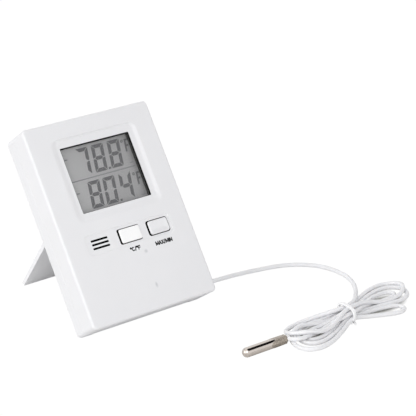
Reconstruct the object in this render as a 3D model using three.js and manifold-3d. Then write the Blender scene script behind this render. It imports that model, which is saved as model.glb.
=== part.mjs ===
// Maximum minimum thermometer with a wired probe.
// A two-shell plastic case leans back on a fold-out leg. It holds a liquid crystal display, a circuit board with two push buttons,
// one AAA cell behind a sliding door, and a probe cord that leaves the right side wall and lies in a tied hank on the table.
// Millimetres, +Z up, the table is the plane z = 0, X runs to the right across the front, Y runs away from the front.
import * as THREE from "three";
import { mergeVertices } from "three/addons/utils/BufferGeometryUtils.js";
import Module from "manifold-3d";

// ---------------------------------------------------------------- driving dimensions
const CASE_W = 78, // across the front
  CASE_H = 110, // up the front
  CASE_D = 20.5, // back to front
  CASE_R = 2.4, // corner radius of the outline
  EDGE_FRONT = 1.4, // rounding of the front edge
  EDGE_REAR = 0.8, // rounding of the rear edge
  LEAN = 36.2, // degrees from upright
  FOOT_CUT = 0.8, // the rear bottom corner is cut flat by this much to stand on
  SEAM = 8.0, // height of the parting line above the rear face
  GAP = 0.12, // half of the parting gap
  WALL_F = 1.6, // front shell's side walls
  FACE_T = 1.8, // front shell's face
  WALL_R = 2.4, // rear shell's side walls
  BACK_T = 1.8, // rear shell's back
  WIN = [-21.0, 21.8, 59.4, 95.7], // display opening: left, right, bottom, top
  WIN_RECESS = [-26.2, 27.2, 54.3, 100.6], // outer edge of the sloped recess
  WIN_DEPTH = 0.9, // depth of that recess
  PANEL = [-26.2, 26.6, 36.9, 47.9], // button panel recess
  PANEL_DEPTH = 0.4,
  UNIT_KEY = [-6.5, 7.2, 38.05, 46.4], // opening of the unit button
  MAXMIN_KEY = [11.6, 25.1, 38.0, 46.3], // opening of the maximum and minimum button
  KEY_GAP = 0.55,
  KEY_TRAVEL = 0.5,
  SLOT_X = [-23.0, -12.7],
  SLOT_U = [44.3, 42.2, 40.1],
  SLOT_H = 0.8,
  LEG_AXIS = [60.15, 1.7], // height up the case and height above the rear face
  LEG_L = 59.93, // axis to tip
  LEG_W = 61,
  LEG_T0 = 3.0, // at the hinge
  LEG_T1 = 2.0, // at the tip
  LEG_OPEN = 72.07, // degrees between the leg and the back
  LEG_POCKET = 3.4,
  DOOR_W = 56.6,
  DOOR_U0 = 89.5,
  CELL_R = 5.25,
  CELL_L = 44.5,
  CELL_POS = [98.6, 6.95],
  CORD_R = 1.2,
  CORD_EXIT = [6.8, 8.0], // height up the case and height above the rear face, on the right side wall
  PROBE_R = 2.6,
  PROBE_L = 27.2;

// ---------------------------------------------------------------- solids
const wasm = await Module();
wasm.setup();

function solid(geometry) {
  const g = geometry.clone();
  for (const name of Object.keys(g.attributes))
    if (name !== "position") g.deleteAttribute(name);
  const m = mergeVertices(g, 1e-4);
  return new wasm.Manifold(
    new wasm.Mesh({
      numProp: 3,
      vertProperties: new Float32Array(m.attributes.position.array),
      triVerts: new Uint32Array(m.index.array),
    }),
  );
}
function geometryOf(s) {
  const m = s.getMesh(),
    p = new Float32Array(m.numVert * 3);
  for (let i = 0; i < m.numVert; i++)
    p.set(
      m.vertProperties.subarray(i * m.numProp, i * m.numProp + 3),
      i * 3,
    );
  const g = new THREE.BufferGeometry()
    .setAttribute("position", new THREE.BufferAttribute(p, 3))
    .setIndex(new THREE.BufferAttribute(new Uint32Array(m.triVerts), 1));
  g.computeVertexNormals();
  return g;
}
const join = (first, ...rest) => rest.reduce((a, b) => a.add(b), first);
const cut = (first, ...rest) => rest.reduce((a, b) => a.subtract(b), first);

// A rectangle with round corners, from its left, right, bottom and top.
function rectShape([x0, x1, y0, y1], r) {
  const s = new THREE.Shape();
  if (r <= 0) {
    s.moveTo(x0, y0).lineTo(x1, y0).lineTo(x1, y1).lineTo(x0, y1);
    s.closePath();
    return s;
  }
  s.moveTo(x0 + r, y0);
  s.lineTo(x1 - r, y0);
  s.absarc(x1 - r, y0 + r, r, -Math.PI / 2, 0);
  s.lineTo(x1, y1 - r);
  s.absarc(x1 - r, y1 - r, r, 0, Math.PI / 2);
  s.lineTo(x0 + r, y1);
  s.absarc(x0 + r, y1 - r, r, Math.PI / 2, Math.PI);
  s.lineTo(x0, y0 + r);
  s.absarc(x0 + r, y0 + r, r, Math.PI, 1.5 * Math.PI);
  return s;
}
// A slab of that rectangle between two heights above the rear face.
function slab(rect, r, z0, z1, seg = 3) {
  const g = new THREE.ExtrudeGeometry(rectShape(rect, r), {
    depth: z1 - z0,
    bevelEnabled: false,
    curveSegments: seg,
  });
  return solid(g.translate(0, 0, z0));
}
const box = (x0, x1, y0, y1, z0, z1) =>
  solid(
    new THREE.BoxGeometry(x1 - x0, y1 - y0, z1 - z0).translate(
      (x0 + x1) / 2,
      (y0 + y1) / 2,
      (z0 + z1) / 2,
    ),
  );
// A cylinder along Z, or along X, or along Y.
const post = (x, y, r, z0, z1, seg = 14) =>
  solid(
    new THREE.CylinderGeometry(r, r, z1 - z0, seg)
      .rotateX(Math.PI / 2)
      .translate(x, y, (z0 + z1) / 2),
  );
const rod = (x0, x1, y, z, r, seg = 14) =>
  solid(
    new THREE.CylinderGeometry(r, r, x1 - x0, seg)
      .rotateZ(Math.PI / 2)
      .translate((x0 + x1) / 2, y, z),
  );
// A turned solid along +Y of its own profile of [radius, height], which starts and ends on the axis.
function turned(profile, seg) {
  return new THREE.LatheGeometry(
    profile.map(([r, h]) => new THREE.Vector2(r, h)),
    seg,
  );
}
// A round wire or cord along a smooth line.
function tube(points, r, sides, steps, tension = 0.5) {
  const s = new THREE.Shape();
  for (let i = 0; i < sides; i++) {
    const a = (2 * Math.PI * (i + 0.5)) / sides;
    if (i) s.lineTo(r * Math.cos(a), r * Math.sin(a));
    else s.moveTo(r * Math.cos(a), r * Math.sin(a));
  }
  s.closePath();
  return new THREE.ExtrudeGeometry(s, {
    steps,
    extrudePath: new THREE.CatmullRomCurve3(
      points.map((p) => new THREE.Vector3(...p)),
      false,
      "catmullrom",
      tension,
    ),
    curveSegments: 1,
  });
}
const inset = ([a, b, c, d], by) => [a + by, b - by, c + by, d - by];

// ---------------------------------------------------------------- materials
const mat = (color, roughness, metalness = 0, extra = {}) =>
  new THREE.MeshStandardMaterial({ color, roughness, metalness, ...extra });
const M = {
  case: mat(0xe9e9eb, 0.45),
  key: mat(0xf6f6f6, 0.2),
  keyGloss: mat(0xdcdcde, 0.12),
  clear: mat(0xf4f8f8, 0.05, 0, { transparent: true, opacity: 0.3 }),
  black: mat(0x101011, 0.6),
  lcd: mat(0xa5a5a7, 0.3),
  foil: mat(0xb8babd, 0.35, 0.6),
  rubber: mat(0x55565a, 0.8),
  board: mat(0x2f6b3c, 0.5),
  epoxy: mat(0x0c0c0d, 0.35),
  can: mat(0xc9cacc, 0.25, 1),
  amber: mat(0xb98746, 0.5),
  steel: mat(0xc6c4c0, 0.18, 1),
  zinc: mat(0xa9abad, 0.35, 1),
  cell: mat(0x3b6d8c, 0.3, 0.4),
  red: mat(0xb3201c, 0.5),
  blackWire: mat(0x151516, 0.5),
  cord: mat(0xeaeaec, 0.5),
  tie: mat(0xf4f4f4, 0.4),
};

// ---------------------------------------------------------------- frames
const part = new THREE.Group();
// The table frame's zero is the rear bottom corner of the case; SHIFT_Y puts the row's origin under the middle of the object.
const table = new THREE.Group();
part.add(table);
const tilt = THREE.MathUtils.degToRad(90 - LEAN);
// In the case frame X is across, Y is up the case and Z comes out of the front, from zero on the rear face.
const body = new THREE.Group();
body.rotation.x = tilt;
body.position.z = -FOOT_CUT;
table.add(body);

function add(group, name, shape, material) {
  const g = shape.isBufferGeometry ? shape : geometryOf(shape);
  const mesh = new THREE.Mesh(g, material);
  mesh.name = name;
  group.add(mesh);
  return mesh;
}

const HALF = CASE_W / 2;
const OUT = [-HALF, HALF, 0, CASE_H];

// ---------------------------------------------------------------- front cover
const shell = (edge, z0, z1) => {
  const g = new THREE.ExtrudeGeometry(
    rectShape(inset(OUT, edge), CASE_R - Math.min(edge, 1.2)),
    {
      depth: z1 - z0 - 2 * edge,
      bevelEnabled: true,
      bevelThickness: edge,
      bevelSize: edge,
      bevelSegments: 2,
      curveSegments: 3,
    },
  );
  return solid(g.translate(0, 0, z0 + edge));
};
const wedge = (outer, inner, zTop, zBottom, r) => {
  // A sloped recess: the outer rectangle at zTop narrows to the inner one at zBottom.
  const a = rectShape(outer, r).getPoints(3),
    b = rectShape(inner, Math.max(r * 0.7, 0.5)).getPoints(3);
  const n = Math.min(a.length, b.length) - 0;
  const same = (p) =>
    p.length > 1 && p[0].distanceTo(p[p.length - 1]) < 1e-6 ? p.slice(0, -1) : p;
  const A = same(a),
    B = same(b),
    N = Math.min(A.length, B.length, n);
  const pos = [];
  const top = A.slice(0, N).map((p) => [p.x, p.y, zTop]),
    low = B.slice(0, N).map((p) => [p.x, p.y, zBottom]);
  const cx = (outer[0] + outer[1]) / 2,
    cy = (outer[2] + outer[3]) / 2;
  for (let i = 0; i < N; i++) {
    const j = (i + 1) % N;
    pos.push(...top[i], ...low[i], ...low[j], ...top[i], ...low[j], ...top[j]);
    pos.push(...top[i], ...top[j], cx, cy, zTop);
    pos.push(...low[j], ...low[i], cx, cy, zBottom);
  }
  const g = new THREE.BufferGeometry().setAttribute(
    "position",
    new THREE.Float32BufferAttribute(pos, 3),
  );
  return solid(g);
};

const BOSS_X = 34.4,
  BOSS_U = [15, 100];
const BOARD_SCREWS = [
  [-28.4, 17.5],
  [28.4, 17.5],
  [-28.4, 53.2],
  [28.4, 53.2],
];
const BOARD_Z = [10.8, 12.0];
const inner = inset(OUT, WALL_F);
let front = cut(
  shell(EDGE_FRONT, -6, CASE_D),
  box(-60, 60, -20, 130, -20, SEAM + GAP),
  slab(inner, 1, SEAM - 1, CASE_D - FACE_T),
);
for (const sx of [-1, 1])
  for (const u of BOSS_U)
    front = join(front, post(sx * BOSS_X, u, 3.1, SEAM + 0.5, CASE_D - FACE_T + 0.2));
for (const [x, u] of BOARD_SCREWS)
  front = join(front, post(x, u, 2.3, BOARD_Z[1] + 0.15, CASE_D - FACE_T + 0.2));
front = cut(
  front,
  slab(WIN, 0, CASE_D - 4, CASE_D + 2),
  wedge(
    inset(WIN_RECESS, -1),
    inset(WIN_RECESS, 1.3),
    CASE_D + (1 / 1.3) * WIN_DEPTH * (1 / 1),
    CASE_D - WIN_DEPTH,
    4,
  ),
  slab(PANEL, 2, CASE_D - PANEL_DEPTH, CASE_D + 1),
  slab(UNIT_KEY, 0.8, CASE_D - 4, CASE_D + 2, 2),
  slab(MAXMIN_KEY, 0.8, CASE_D - 4, CASE_D + 2, 2),
  ...SLOT_U.map((u) =>
    slab(
      [SLOT_X[0], SLOT_X[1], u - SLOT_H / 2, u + SLOT_H / 2],
      SLOT_H / 2 - 0.01,
      CASE_D - 4,
      CASE_D + 2,
      2,
    ),
  ),
  rod(HALF - 4, HALF + 4, CORD_EXIT[0], CORD_EXIT[1], CORD_R + 0.15, 12),
);
for (const sx of [-1, 1])
  for (const u of BOSS_U)
    front = cut(front, post(sx * BOSS_X, u, 1.3, SEAM - 1, CASE_D - FACE_T - 1.2, 12));
for (const [x, u] of BOARD_SCREWS)
  front = cut(front, post(x, u, 0.95, BOARD_Z[1] - 1, CASE_D - FACE_T - 0.8, 10));
add(body, "front_cover", front, M.case);

// ---------------------------------------------------------------- rear cover
const pocketHalf = LEG_W / 2 + 0.6;
const doorHalf = DOOR_W / 2;
const cellBox = [-25.8, 25.8, CELL_POS[0] - 5.8, CELL_POS[0] + 5.8];
let rear = cut(
  shell(EDGE_REAR, 0, CASE_D + 6),
  box(-60, 60, -20, 130, SEAM - GAP, 60),
  slab(inset(OUT, WALL_R), 1, BACK_T, SEAM + 4),
);
// The tongue round the rim, which goes inside the front shell.
let rim = cut(
  slab(inset(OUT, WALL_F + 0.2), 1, SEAM - 2.5, SEAM + 1.1),
  slab(inset(OUT, WALL_R), 1, SEAM - 3, SEAM + 3),
);
for (const sx of [-1, 1])
  for (const u of BOSS_U)
    rim = cut(rim, post(sx * BOSS_X, u, 3.5, SEAM - GAP, SEAM + 3));
rear = join(
  rear,
  rim,
  box(-pocketHalf - 1.4, pocketHalf + 1.4, 0.3, LEG_AXIS[0] + 2.05 + 1.4, 0.2, LEG_POCKET + 1.4),
  box(-doorHalf - 2.6, doorHalf + 2.6, DOOR_U0 - 1.8, CASE_H - 0.8, 0.2, 3.0),
  box(cellBox[0] - 1.2, cellBox[1] + 1.2, cellBox[2] - 1.2, cellBox[3] + 1.2, 1.6, 13.4),
);
for (const sx of [-1, 1])
  for (const u of BOSS_U) rear = join(rear, post(sx * BOSS_X, u, 3.1, 0.5, SEAM - GAP));
rear = cut(
  rear,
  // the pocket that the leg folds into, open at the bottom edge
  box(-pocketHalf, pocketHalf, -2, LEG_AXIS[0] + 2.05, -1, LEG_POCKET),
  rod(-pocketHalf - 0.95, pocketHalf + 0.95, LEG_AXIS[0], LEG_AXIS[1], 1.15, 12),
  // the door's recess with its two grooves, open at the top edge
  box(-doorHalf - 0.2, doorHalf + 0.2, DOOR_U0 - 0.2, CASE_H + 2, -1, 1.6),
  box(-doorHalf - 1.3, doorHalf + 1.3, DOOR_U0 - 0.2, CASE_H + 2, 0.65, 1.6),
  // the cell's compartment
  box(...cellBox, 0.5, 12.4),
  // the cord's half hole
  rod(HALF - 4, HALF + 4, CORD_EXIT[0], CORD_EXIT[1], CORD_R + 0.15, 12),
  // the notches that let the battery wires out of the compartment
  box(-28.5, -25, CELL_POS[0] - 1.5, CELL_POS[0] + 0.3, 11.2, 15),
  box(25, 28.5, CELL_POS[0] - 1.5, CELL_POS[0] + 0.3, 11.2, 15),
);
for (const sx of [-1, 1])
  for (const u of BOSS_U)
    rear = cut(
      rear,
      post(sx * BOSS_X, u, 1.3, -1, SEAM + 3, 12),
      post(sx * BOSS_X, u, 2.4, -1, 2.3),
    );
// The flat that the case stands on.
{
  const g = new THREE.BoxGeometry(120, 60, 20).translate(0, 0, -10);
  g.translate(0, 0, FOOT_CUT).rotateX(-tilt);
  rear = cut(rear, solid(g));
}
add(body, "rear_cover", rear, M.case);

// ---------------------------------------------------------------- battery door
const DOOR_T = 1.4;
let door = join(
  box(-doorHalf, doorHalf, DOOR_U0, CASE_H - 0.15, 0, DOOR_T),
  box(-doorHalf - 1.0, doorHalf + 1.0, DOOR_U0, CASE_H - 0.15, 0.8, DOOR_T),
);
for (const u of [103.4, 105.2, 107.0])
  door = cut(door, slab([-7, 7, u - 0.4, u + 0.4], 0.3, -1, 0.45, 2));
add(body, "battery_door", door, M.case);

// ---------------------------------------------------------------- stand leg
// In the leg's own frame the hinge is at zero and the leg runs down to the tip; it turns out of the back by LEG_OPEN.
const leg = new THREE.Group();
leg.position.set(0, LEG_AXIS[0], LEG_AXIS[1]);
leg.rotation.x = THREE.MathUtils.degToRad(LEG_OPEN);
body.add(leg);
{
  const side = new THREE.Shape();
  const a = -LEG_AXIS[1];
  side.moveTo(a, -LEG_L);
  side.lineTo(a + LEG_T1, -LEG_L);
  side.lineTo(a + LEG_T0, 0);
  side.absarc(0, 0, LEG_AXIS[1], 0, Math.PI * 0.999, false);
  side.closePath();
  const g = new THREE.ExtrudeGeometry(side, {
    depth: LEG_W,
    bevelEnabled: false,
    curveSegments: 6,
  });
  // the profile's first axis becomes the height above the rear face, and the length runs along X
  g.rotateY(-Math.PI / 2).translate(LEG_W / 2, 0, 0);
  let s = solid(g);
  s = cut(
    s,
    // a shallow finger notch in the tip
    solid(
      new THREE.CylinderGeometry(9, 9, 20, 24)
        .rotateX(Math.PI / 2)
        .translate(0, -LEG_L - 6.6, 0),
    ),
  );
  s = join(s, rod(-LEG_W / 2 - 1.4, LEG_W / 2 + 1.4, 0, 0, 1.0, 12));
  add(leg, "stand_leg", s, M.case);
}

// ---------------------------------------------------------------- display
const WIN_FLOOR = CASE_D - WIN_DEPTH;
add(
  body,
  "display_window",
  slab(inset(WIN, -1.8), 0.5, CASE_D - FACE_T - 1.15, CASE_D - FACE_T - 0.1, 2),
  M.clear,
);
const frameOut = [-25.6, 26.4, 55.2, 99.9];
const lcdRect = [-23.3, 24.1, 57.2, 97.9];
add(
  body,
  "lcd_frame",
  cut(
    slab(frameOut, 1, 13.95, CASE_D - FACE_T - 1.25, 2),
    slab(WIN, 0, 13, 20),
    box(lcdRect[0] - 0.2, lcdRect[1] + 0.2, lcdRect[2] - 0.2, lcdRect[3] + 0.2, 13, 16.35),
  ),
  M.black,
);
add(body, "lcd_panel", slab(lcdRect, 0.2, 14.0, 16.2, 1), M.lcd);
add(
  body,
  "lcd_reflector",
  slab([lcdRect[0], lcdRect[1], 61.4, lcdRect[3]], 0.2, 13.65, 13.87, 1),
  M.foil,
);
add(
  body,
  "lcd_contact_strip",
  slab([-21.5, 22.3, 57.8, 60.2], 0.3, BOARD_Z[1] + 0.1, 13.9, 1),
  M.rubber,
);

// ---------------------------------------------------------------- circuit board and what is on it
let board = slab([-31, 31, 12.6, 64], 1, ...BOARD_Z, 2);
for (const [x, u] of BOARD_SCREWS) board = cut(board, post(x, u, 1.1, 10, 13, 10));
add(body, "circuit_board", board, M.board);
{
  const g = turned(
    [
      [0, 0],
      [6, 0],
      [5.2, 0.9],
      [3, 1.5],
      [0, 1.7],
    ],
    16,
  );
  add(body, "chip_blob", solid(g.rotateX(-Math.PI / 2).translate(-2, 36, BOARD_Z[0] - 0.12)), M.epoxy);
}
add(body, "crystal", rod(10, 16.2, 47, BOARD_Z[0] - 1.2, 1.0, 12), M.can);
add(body, "capacitor_a", slab([12, 15.4, 40.4, 42.2], 0.4, BOARD_Z[0] - 1.6, BOARD_Z[0] - 0.12, 1), M.amber);
add(body, "capacitor_b", slab([12, 15.4, 36.4, 38.2], 0.4, BOARD_Z[0] - 1.6, BOARD_Z[0] - 0.12, 1), M.amber);
add(body, "resistor_a", slab([-16, -12.8, 45.2, 46.8], 0.2, BOARD_Z[0] - 0.8, BOARD_Z[0] - 0.12, 1), M.epoxy);
{
  // A bead on two bent wires that end on the board.
  let s = solid(new THREE.SphereGeometry(1.3, 10, 8).translate(-17.8, 42.2, 15.6));
  for (const sx of [-1, 1])
    s = join(
      s,
      solid(
        tube(
          [
            [-17.8 + sx * 0.6, 42.2, 15.2],
            [-17.8 + sx * 0.9, 42.2, 13.8],
            [-17.8 + sx * 1.1, 42.2, BOARD_Z[1] + 0.12],
          ],
          0.28,
          6,
          3,
        ),
      ),
    );
  add(body, "room_thermistor", s, M.amber);
}

// ---------------------------------------------------------------- buttons: a cap on a tact switch whose plunger moves with it
function key(name, opening, material) {
  const x = (opening[0] + opening[1]) / 2,
    u = (opening[2] + opening[3]) / 2;
  const faceIn = CASE_D - FACE_T;
  const cap = join(
    slab(inset(opening, KEY_GAP), 0.7, faceIn - 1.2, CASE_D + 0.35, 2),
    slab(inset(opening, -0.8), 0.7, faceIn - 1.2, faceIn - 0.3, 2),
    post(x, u, 1.5, 15.95, faceIn - 0.8, 12),
  );
  add(body, name + "_button", cap, material);
  add(
    body,
    name + "_switch",
    cut(
      slab([x - 3, x + 3, u - 3, u + 3], 0.4, BOARD_Z[1] + 0.1, 15.1, 1),
      post(x, u, 1.95, 12.9, 16, 12),
    ),
    M.black,
  );
  add(body, name + "_switch_plunger", post(x, u, 1.7, 13.6, 15.85, 12), M.rubber);
}
key("unit", UNIT_KEY, M.key);
key("max_min", MAXMIN_KEY, M.keyGloss);

// ---------------------------------------------------------------- cell, contacts and wires
{
  const h = CELL_L;
  const g = turned(
    [
      [0, 0],
      [3.4, 0],
      [3.6, 0.35],
      [CELL_R - 0.3, 0.35],
      [CELL_R, 0.7],
      [CELL_R, h - 1.4],
      [CELL_R - 0.4, h - 1.0],
      [1.95, h - 1.0],
      [1.9, h - 0.1],
      [0, h],
    ],
    20,
  );
  g.rotateZ(-Math.PI / 2).translate(-19.6, CELL_POS[0], CELL_POS[1]);
  add(body, "battery_cell", solid(g), M.cell);
  const plateSlab = (x0, x1) => box(x0, x1, CELL_POS[0] - 4.2, CELL_POS[0] + 4.2, 2.6, 11);
  const turns = 3,
    pts = [];
  for (let i = 0; i <= turns * 8; i++) {
    const t = i / (turns * 8),
      a = 2 * Math.PI * turns * t,
      r = 3.6 - 1.2 * t;
    pts.push([-25.3 + 5.3 * t, CELL_POS[0] + r * Math.cos(a), CELL_POS[1] + r * Math.sin(a)]);
  }
  add(
    body,
    "battery_spring",
    join(plateSlab(-25.65, -25.25), solid(tube(pts, 0.28, 6, turns * 10))),
    M.zinc,
  );
  add(
    body,
    "battery_contact",
    join(plateSlab(25.25, 25.65), rod(25.1, 25.4, CELL_POS[0], CELL_POS[1], 1.6, 10)),
    M.zinc,
  );
  const wire = (sx) =>
    tube(
      [
        [sx * 25.45, CELL_POS[0] - 0.6, 11.6],
        [sx * 26.6, CELL_POS[0] - 0.6, 12.4],
        [sx * 28.2, CELL_POS[0] - 1.2, 12.3],
        [sx * 29.4, CELL_POS[0] - 4, 11.2],
        [sx * 30.2, 88, 9.6],
        [sx * 30.2, 76, 9.0],
        [sx * 30.0, 66, 9.2],
        [sx * 30.0, 61.5, 9.7],
        [sx * 29.6, 60.2, 10.0],
      ],
      0.45,
      6,
      18,
    );
  add(body, "battery_wire_red", solid(wire(1)), M.red);
  add(body, "battery_wire_black", solid(wire(-1)), M.blackWire);
}

// ---------------------------------------------------------------- fasteners
const screw = (headR, headH, shankR, length, x, u, zUnderHead) => {
  const g = turned(
    [
      [0, -headH],
      [headR * 0.75, -headH],
      [headR, -headH * 0.55],
      [headR, 0],
      [shankR, 0],
      [shankR, length - shankR],
      [0, length],
    ],
    12,
  );
  let s = solid(g.rotateX(Math.PI / 2).translate(x, u, zUnderHead));
  s = cut(
    s,
    box(x - 0.3, x + 0.3, u - headR * 0.6, u + headR * 0.6, zUnderHead - headH - 1, zUnderHead - headH * 0.45),
    box(x - headR * 0.6, x + headR * 0.6, u - 0.3, u + 0.3, zUnderHead - headH - 1, zUnderHead - headH * 0.45),
  );
  return s;
};
let n = 0;
for (const u of BOSS_U)
  for (const sx of [-1, 1])
    add(body, "case_screw_" + ++n, screw(2.1, 1.3, 1.05, 13, sx * BOSS_X, u, 2.15), M.zinc);
n = 0;
for (const [x, u] of BOARD_SCREWS)
  add(body, "board_screw_" + ++n, screw(1.8, 1.1, 0.8, 6.2, x, u, BOARD_Z[0] - 0.15), M.zinc);

// ---------------------------------------------------------------- probe cord inside the case
add(
  body,
  "probe_cable_inner",
  solid(
    tube(
      [
        [HALF - 0.3, CORD_EXIT[0], CORD_EXIT[1]],
        [HALF - 3.5, CORD_EXIT[0], CORD_EXIT[1]],
        [HALF - 7.5, CORD_EXIT[0] + 0.4, CORD_EXIT[1]],
      ],
      CORD_R - 0.02,
      8,
      3,
    ),
  ),
  M.cord,
);
add(
  body,
  "cable_stop",
  cut(
    solid(
      new THREE.CylinderGeometry(2.0, 2.0, 2.6, 12)
        .rotateZ(Math.PI / 2)
        .translate(HALF - 4.4, CORD_EXIT[0], CORD_EXIT[1]),
    ),
    rod(HALF - 8, HALF, CORD_EXIT[0] + 0.03, CORD_EXIT[1], CORD_R + 0.14, 12),
  ),
  M.tie,
);
for (const [name, dy, dx] of [
  ["probe_lead_a", 0.45, 0],
  ["probe_lead_b", -0.45, 2.2],
])
  add(
    body,
    name,
    solid(
      tube(
        [
          [HALF - 7.7, CORD_EXIT[0] + 0.4 + dy, CORD_EXIT[1]],
          [HALF - 10.5, CORD_EXIT[0] + 0.6 + dy * 2, CORD_EXIT[1]],
          [HALF - 14 - dx, 11 + dy, CORD_EXIT[1] + 0.4],
          [HALF - 15 - dx, 15, BOARD_Z[0] - 1.6],
          [HALF - 15 - dx, 16, BOARD_Z[0] - 0.15],
        ],
        0.32,
        6,
        10,
      ),
    ),
    dy > 0 ? M.red : M.cord,
  );

// ---------------------------------------------------------------- probe cord on the table, in the table frame
const leadPoints = [
  [39.15, -2.44, 9.4],
  [42.6, -2.5, 9.38],
  [46.2, -2.9, 9.1],
  [50.8, -2.05, 8.3],
  [56.95, -0.34, 7],
  [64.17, 1.86, 5.3],
  [71.17, 3.69, 3.7],
  [77.99, 5, 2.3],
  [84, 5.55, 1.55],
  [89.44, 5.15, 1.23],
  [94.3, 3.93, 1.23],
  [98.8, 2.4, 1.23],
  [103, 0.3, 1.23],
  [106.9, -2.1, 1.23],
  [110.4, -5, 1.23],
  [113.5, -8.3, 1.23],
  [116, -12.3, 1.23],
  [117.9, -17.1, 1.23],
  [119.2, -22.3, 1.23],
  [119.45, -27.5, 1.23],
  [118.75, -32.5, 1.23],
  [117.3, -36.9, 1.23],
  [115.2, -41, 1.23],
  [112.5, -44.9, 1.23],
  [109.4, -48.4, 1.23],
  [105.8, -51.5, 1.23],
  [101.8, -54.1, 1.35],
  [97.8, -56.5, 2.0],
  [94.4, -58.75, 3],
];
add(table, "probe_cable", solid(tube(leadPoints, CORD_R, 8, 76)), M.cord);

const hankOutline = [
  [88.5, -60.6], [95, -60.6], [101, -58.2], [107, -55.9], [113, -53.6], [119, -52.0], [126, -51.0], [131.2, -52.0], [133.8, -56.5],
  [133.8, -63], [131.5, -68], [127.5, -72.2], [122.8, -76.4], [117.5, -80.6], [112.5, -82.0], [104.3, -79.0], [95, -75.9],
  [88.5, -73.4], [85, -73.4], [79, -76.6], [74, -79.4], [68, -82.4], [60.5, -85.6], [52.6, -86.2], [47.4, -83.8], [46.4, -79],
  [46.4, -73], [46.6, -66], [47.6, -61], [50.6, -55.8], [56.4, -52.6], [62, -55.4], [69, -57.4], [78, -58.6], [85, -60.6],
];
{
  const s = new THREE.Shape(hankOutline.map(([x, y]) => new THREE.Vector2(x, y)));
  let h = solid(
    new THREE.ExtrudeGeometry(s, { depth: 7.4, bevelEnabled: false }).translate(0, 0, 0.05),
  );
  // the waist is lifted, and its top is lower, where the tie goes round it
  h = cut(h, box(84.4, 88.9, -90, -40, -1, 1.2), box(84.4, 88.9, -90, -40, 7.5, 9));
  add(table, "probe_cable_hank", h, M.cord);
}
{
  const g = new THREE.ExtrudeGeometry(rectShape([-74.9, -59.1, 0.05, 8.8], 1.6), {
    depth: 3.0,
    bevelEnabled: false,
    curveSegments: 3,
  });
  const hole = new THREE.ExtrudeGeometry(rectShape([-73.9, -60.1, 0.95, 7.8], 1.0), {
    depth: 6,
    bevelEnabled: false,
    curveSegments: 3,
  });
  // the section lies across the hank, so it is turned to face along X
  const place = (geo, x) => solid(geo.rotateX(Math.PI / 2).rotateZ(Math.PI / 2).translate(x, 0, 0));
  add(table, "hank_tie", cut(place(g, 85.1), place(hole, 83.5)), M.tie);
}

// ---------------------------------------------------------------- steel probe with its sealed cord end
{
  const probe = new THREE.Group();
  probe.position.set(43.8, -68.4, PROBE_R + 0.04);
  probe.rotation.z = Math.PI - Math.atan2(0.41, 24.73);
  table.add(probe);
  const L = PROBE_L,
    R = PROBE_R,
    r = PROBE_R - 0.3;
  const prof = [
    [0, L],
    [0, L],
  ];
  prof.length = 0;
  prof.push([0, L]);
  for (let i = 1; i <= 5; i++) {
    const a = (Math.PI / 2) * (i / 5);
    prof.push([R * Math.sin(a), L - R + R * Math.cos(a)]);
  }
  prof.push([R, 0], [r, 0], [r, L - R]);
  for (let i = 4; i >= 1; i--) {
    const a = (Math.PI / 2) * (i / 5);
    prof.push([r * Math.sin(a), L - R + r * Math.cos(a)]);
  }
  prof.push([0, L - R + r]);
  prof.reverse();
  const g = turned(prof, 18).rotateZ(-Math.PI / 2);
  add(probe, "probe_tube", solid(g), M.steel);
  add(
    probe,
    "probe_seal",
    join(rod(0.1, 5, 0, 0, r - 0.12, 12), rod(-1.2, 0.4, 0, 0, 1.3, 10)),
    M.cord,
  );
  add(
    probe,
    "probe_thermistor",
    solid(new THREE.SphereGeometry(1.2, 10, 8).scale(1.6, 1, 1).translate(L - 4.2, 0, 0)),
    M.amber,
  );
}

// ---------------------------------------------------------------- the row's origin: under the middle of the case with its leg out
part.updateMatrixWorld(true);
const bounds = new THREE.Box3().setFromObject(body, true);
table.position.y = -(bounds.min.y + bounds.max.y) / 2;
table.position.x = -(bounds.min.x + bounds.max.x) / 2;
table.position.z = -bounds.min.z;
part.updateMatrixWorld(true);

export default part;
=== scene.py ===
import math
import random

import bmesh
import bpy
import numpy as np
from mathutils import Matrix, Vector
from mathutils.geometry import tessellate_polygon


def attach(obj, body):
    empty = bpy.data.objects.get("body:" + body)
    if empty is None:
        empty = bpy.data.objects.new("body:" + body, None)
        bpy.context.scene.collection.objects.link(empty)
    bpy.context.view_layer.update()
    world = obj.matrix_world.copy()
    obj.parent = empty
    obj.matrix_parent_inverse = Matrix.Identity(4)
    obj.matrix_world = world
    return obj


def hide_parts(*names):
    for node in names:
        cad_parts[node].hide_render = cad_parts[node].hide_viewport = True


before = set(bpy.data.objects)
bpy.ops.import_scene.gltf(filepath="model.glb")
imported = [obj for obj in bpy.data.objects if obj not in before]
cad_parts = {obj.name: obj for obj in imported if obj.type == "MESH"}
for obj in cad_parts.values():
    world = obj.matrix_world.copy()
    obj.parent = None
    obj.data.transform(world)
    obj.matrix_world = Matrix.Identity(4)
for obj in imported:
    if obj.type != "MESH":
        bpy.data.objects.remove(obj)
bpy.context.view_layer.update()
random.seed(7)
MM = 0.001

# ------------------------------------------------------------------ frames
# Case frame: x across, u up the case, w out of the front from the rear face. Table frame: z = 0 is the table.
LEAN = math.radians(90 - 36.2)
SHIFT_Y = -27.338475
CASE = Matrix.Translation((0, SHIFT_Y * MM, -0.8 * MM)) @ Matrix.Rotation(LEAN, 4, "X")
TABLE = Matrix.Translation((0, SHIFT_Y * MM, 0))
LEG = CASE @ Matrix.Translation((0, 60.15 * MM, 1.7 * MM)) @ Matrix.Rotation(math.radians(72.07), 4, "X")

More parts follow.
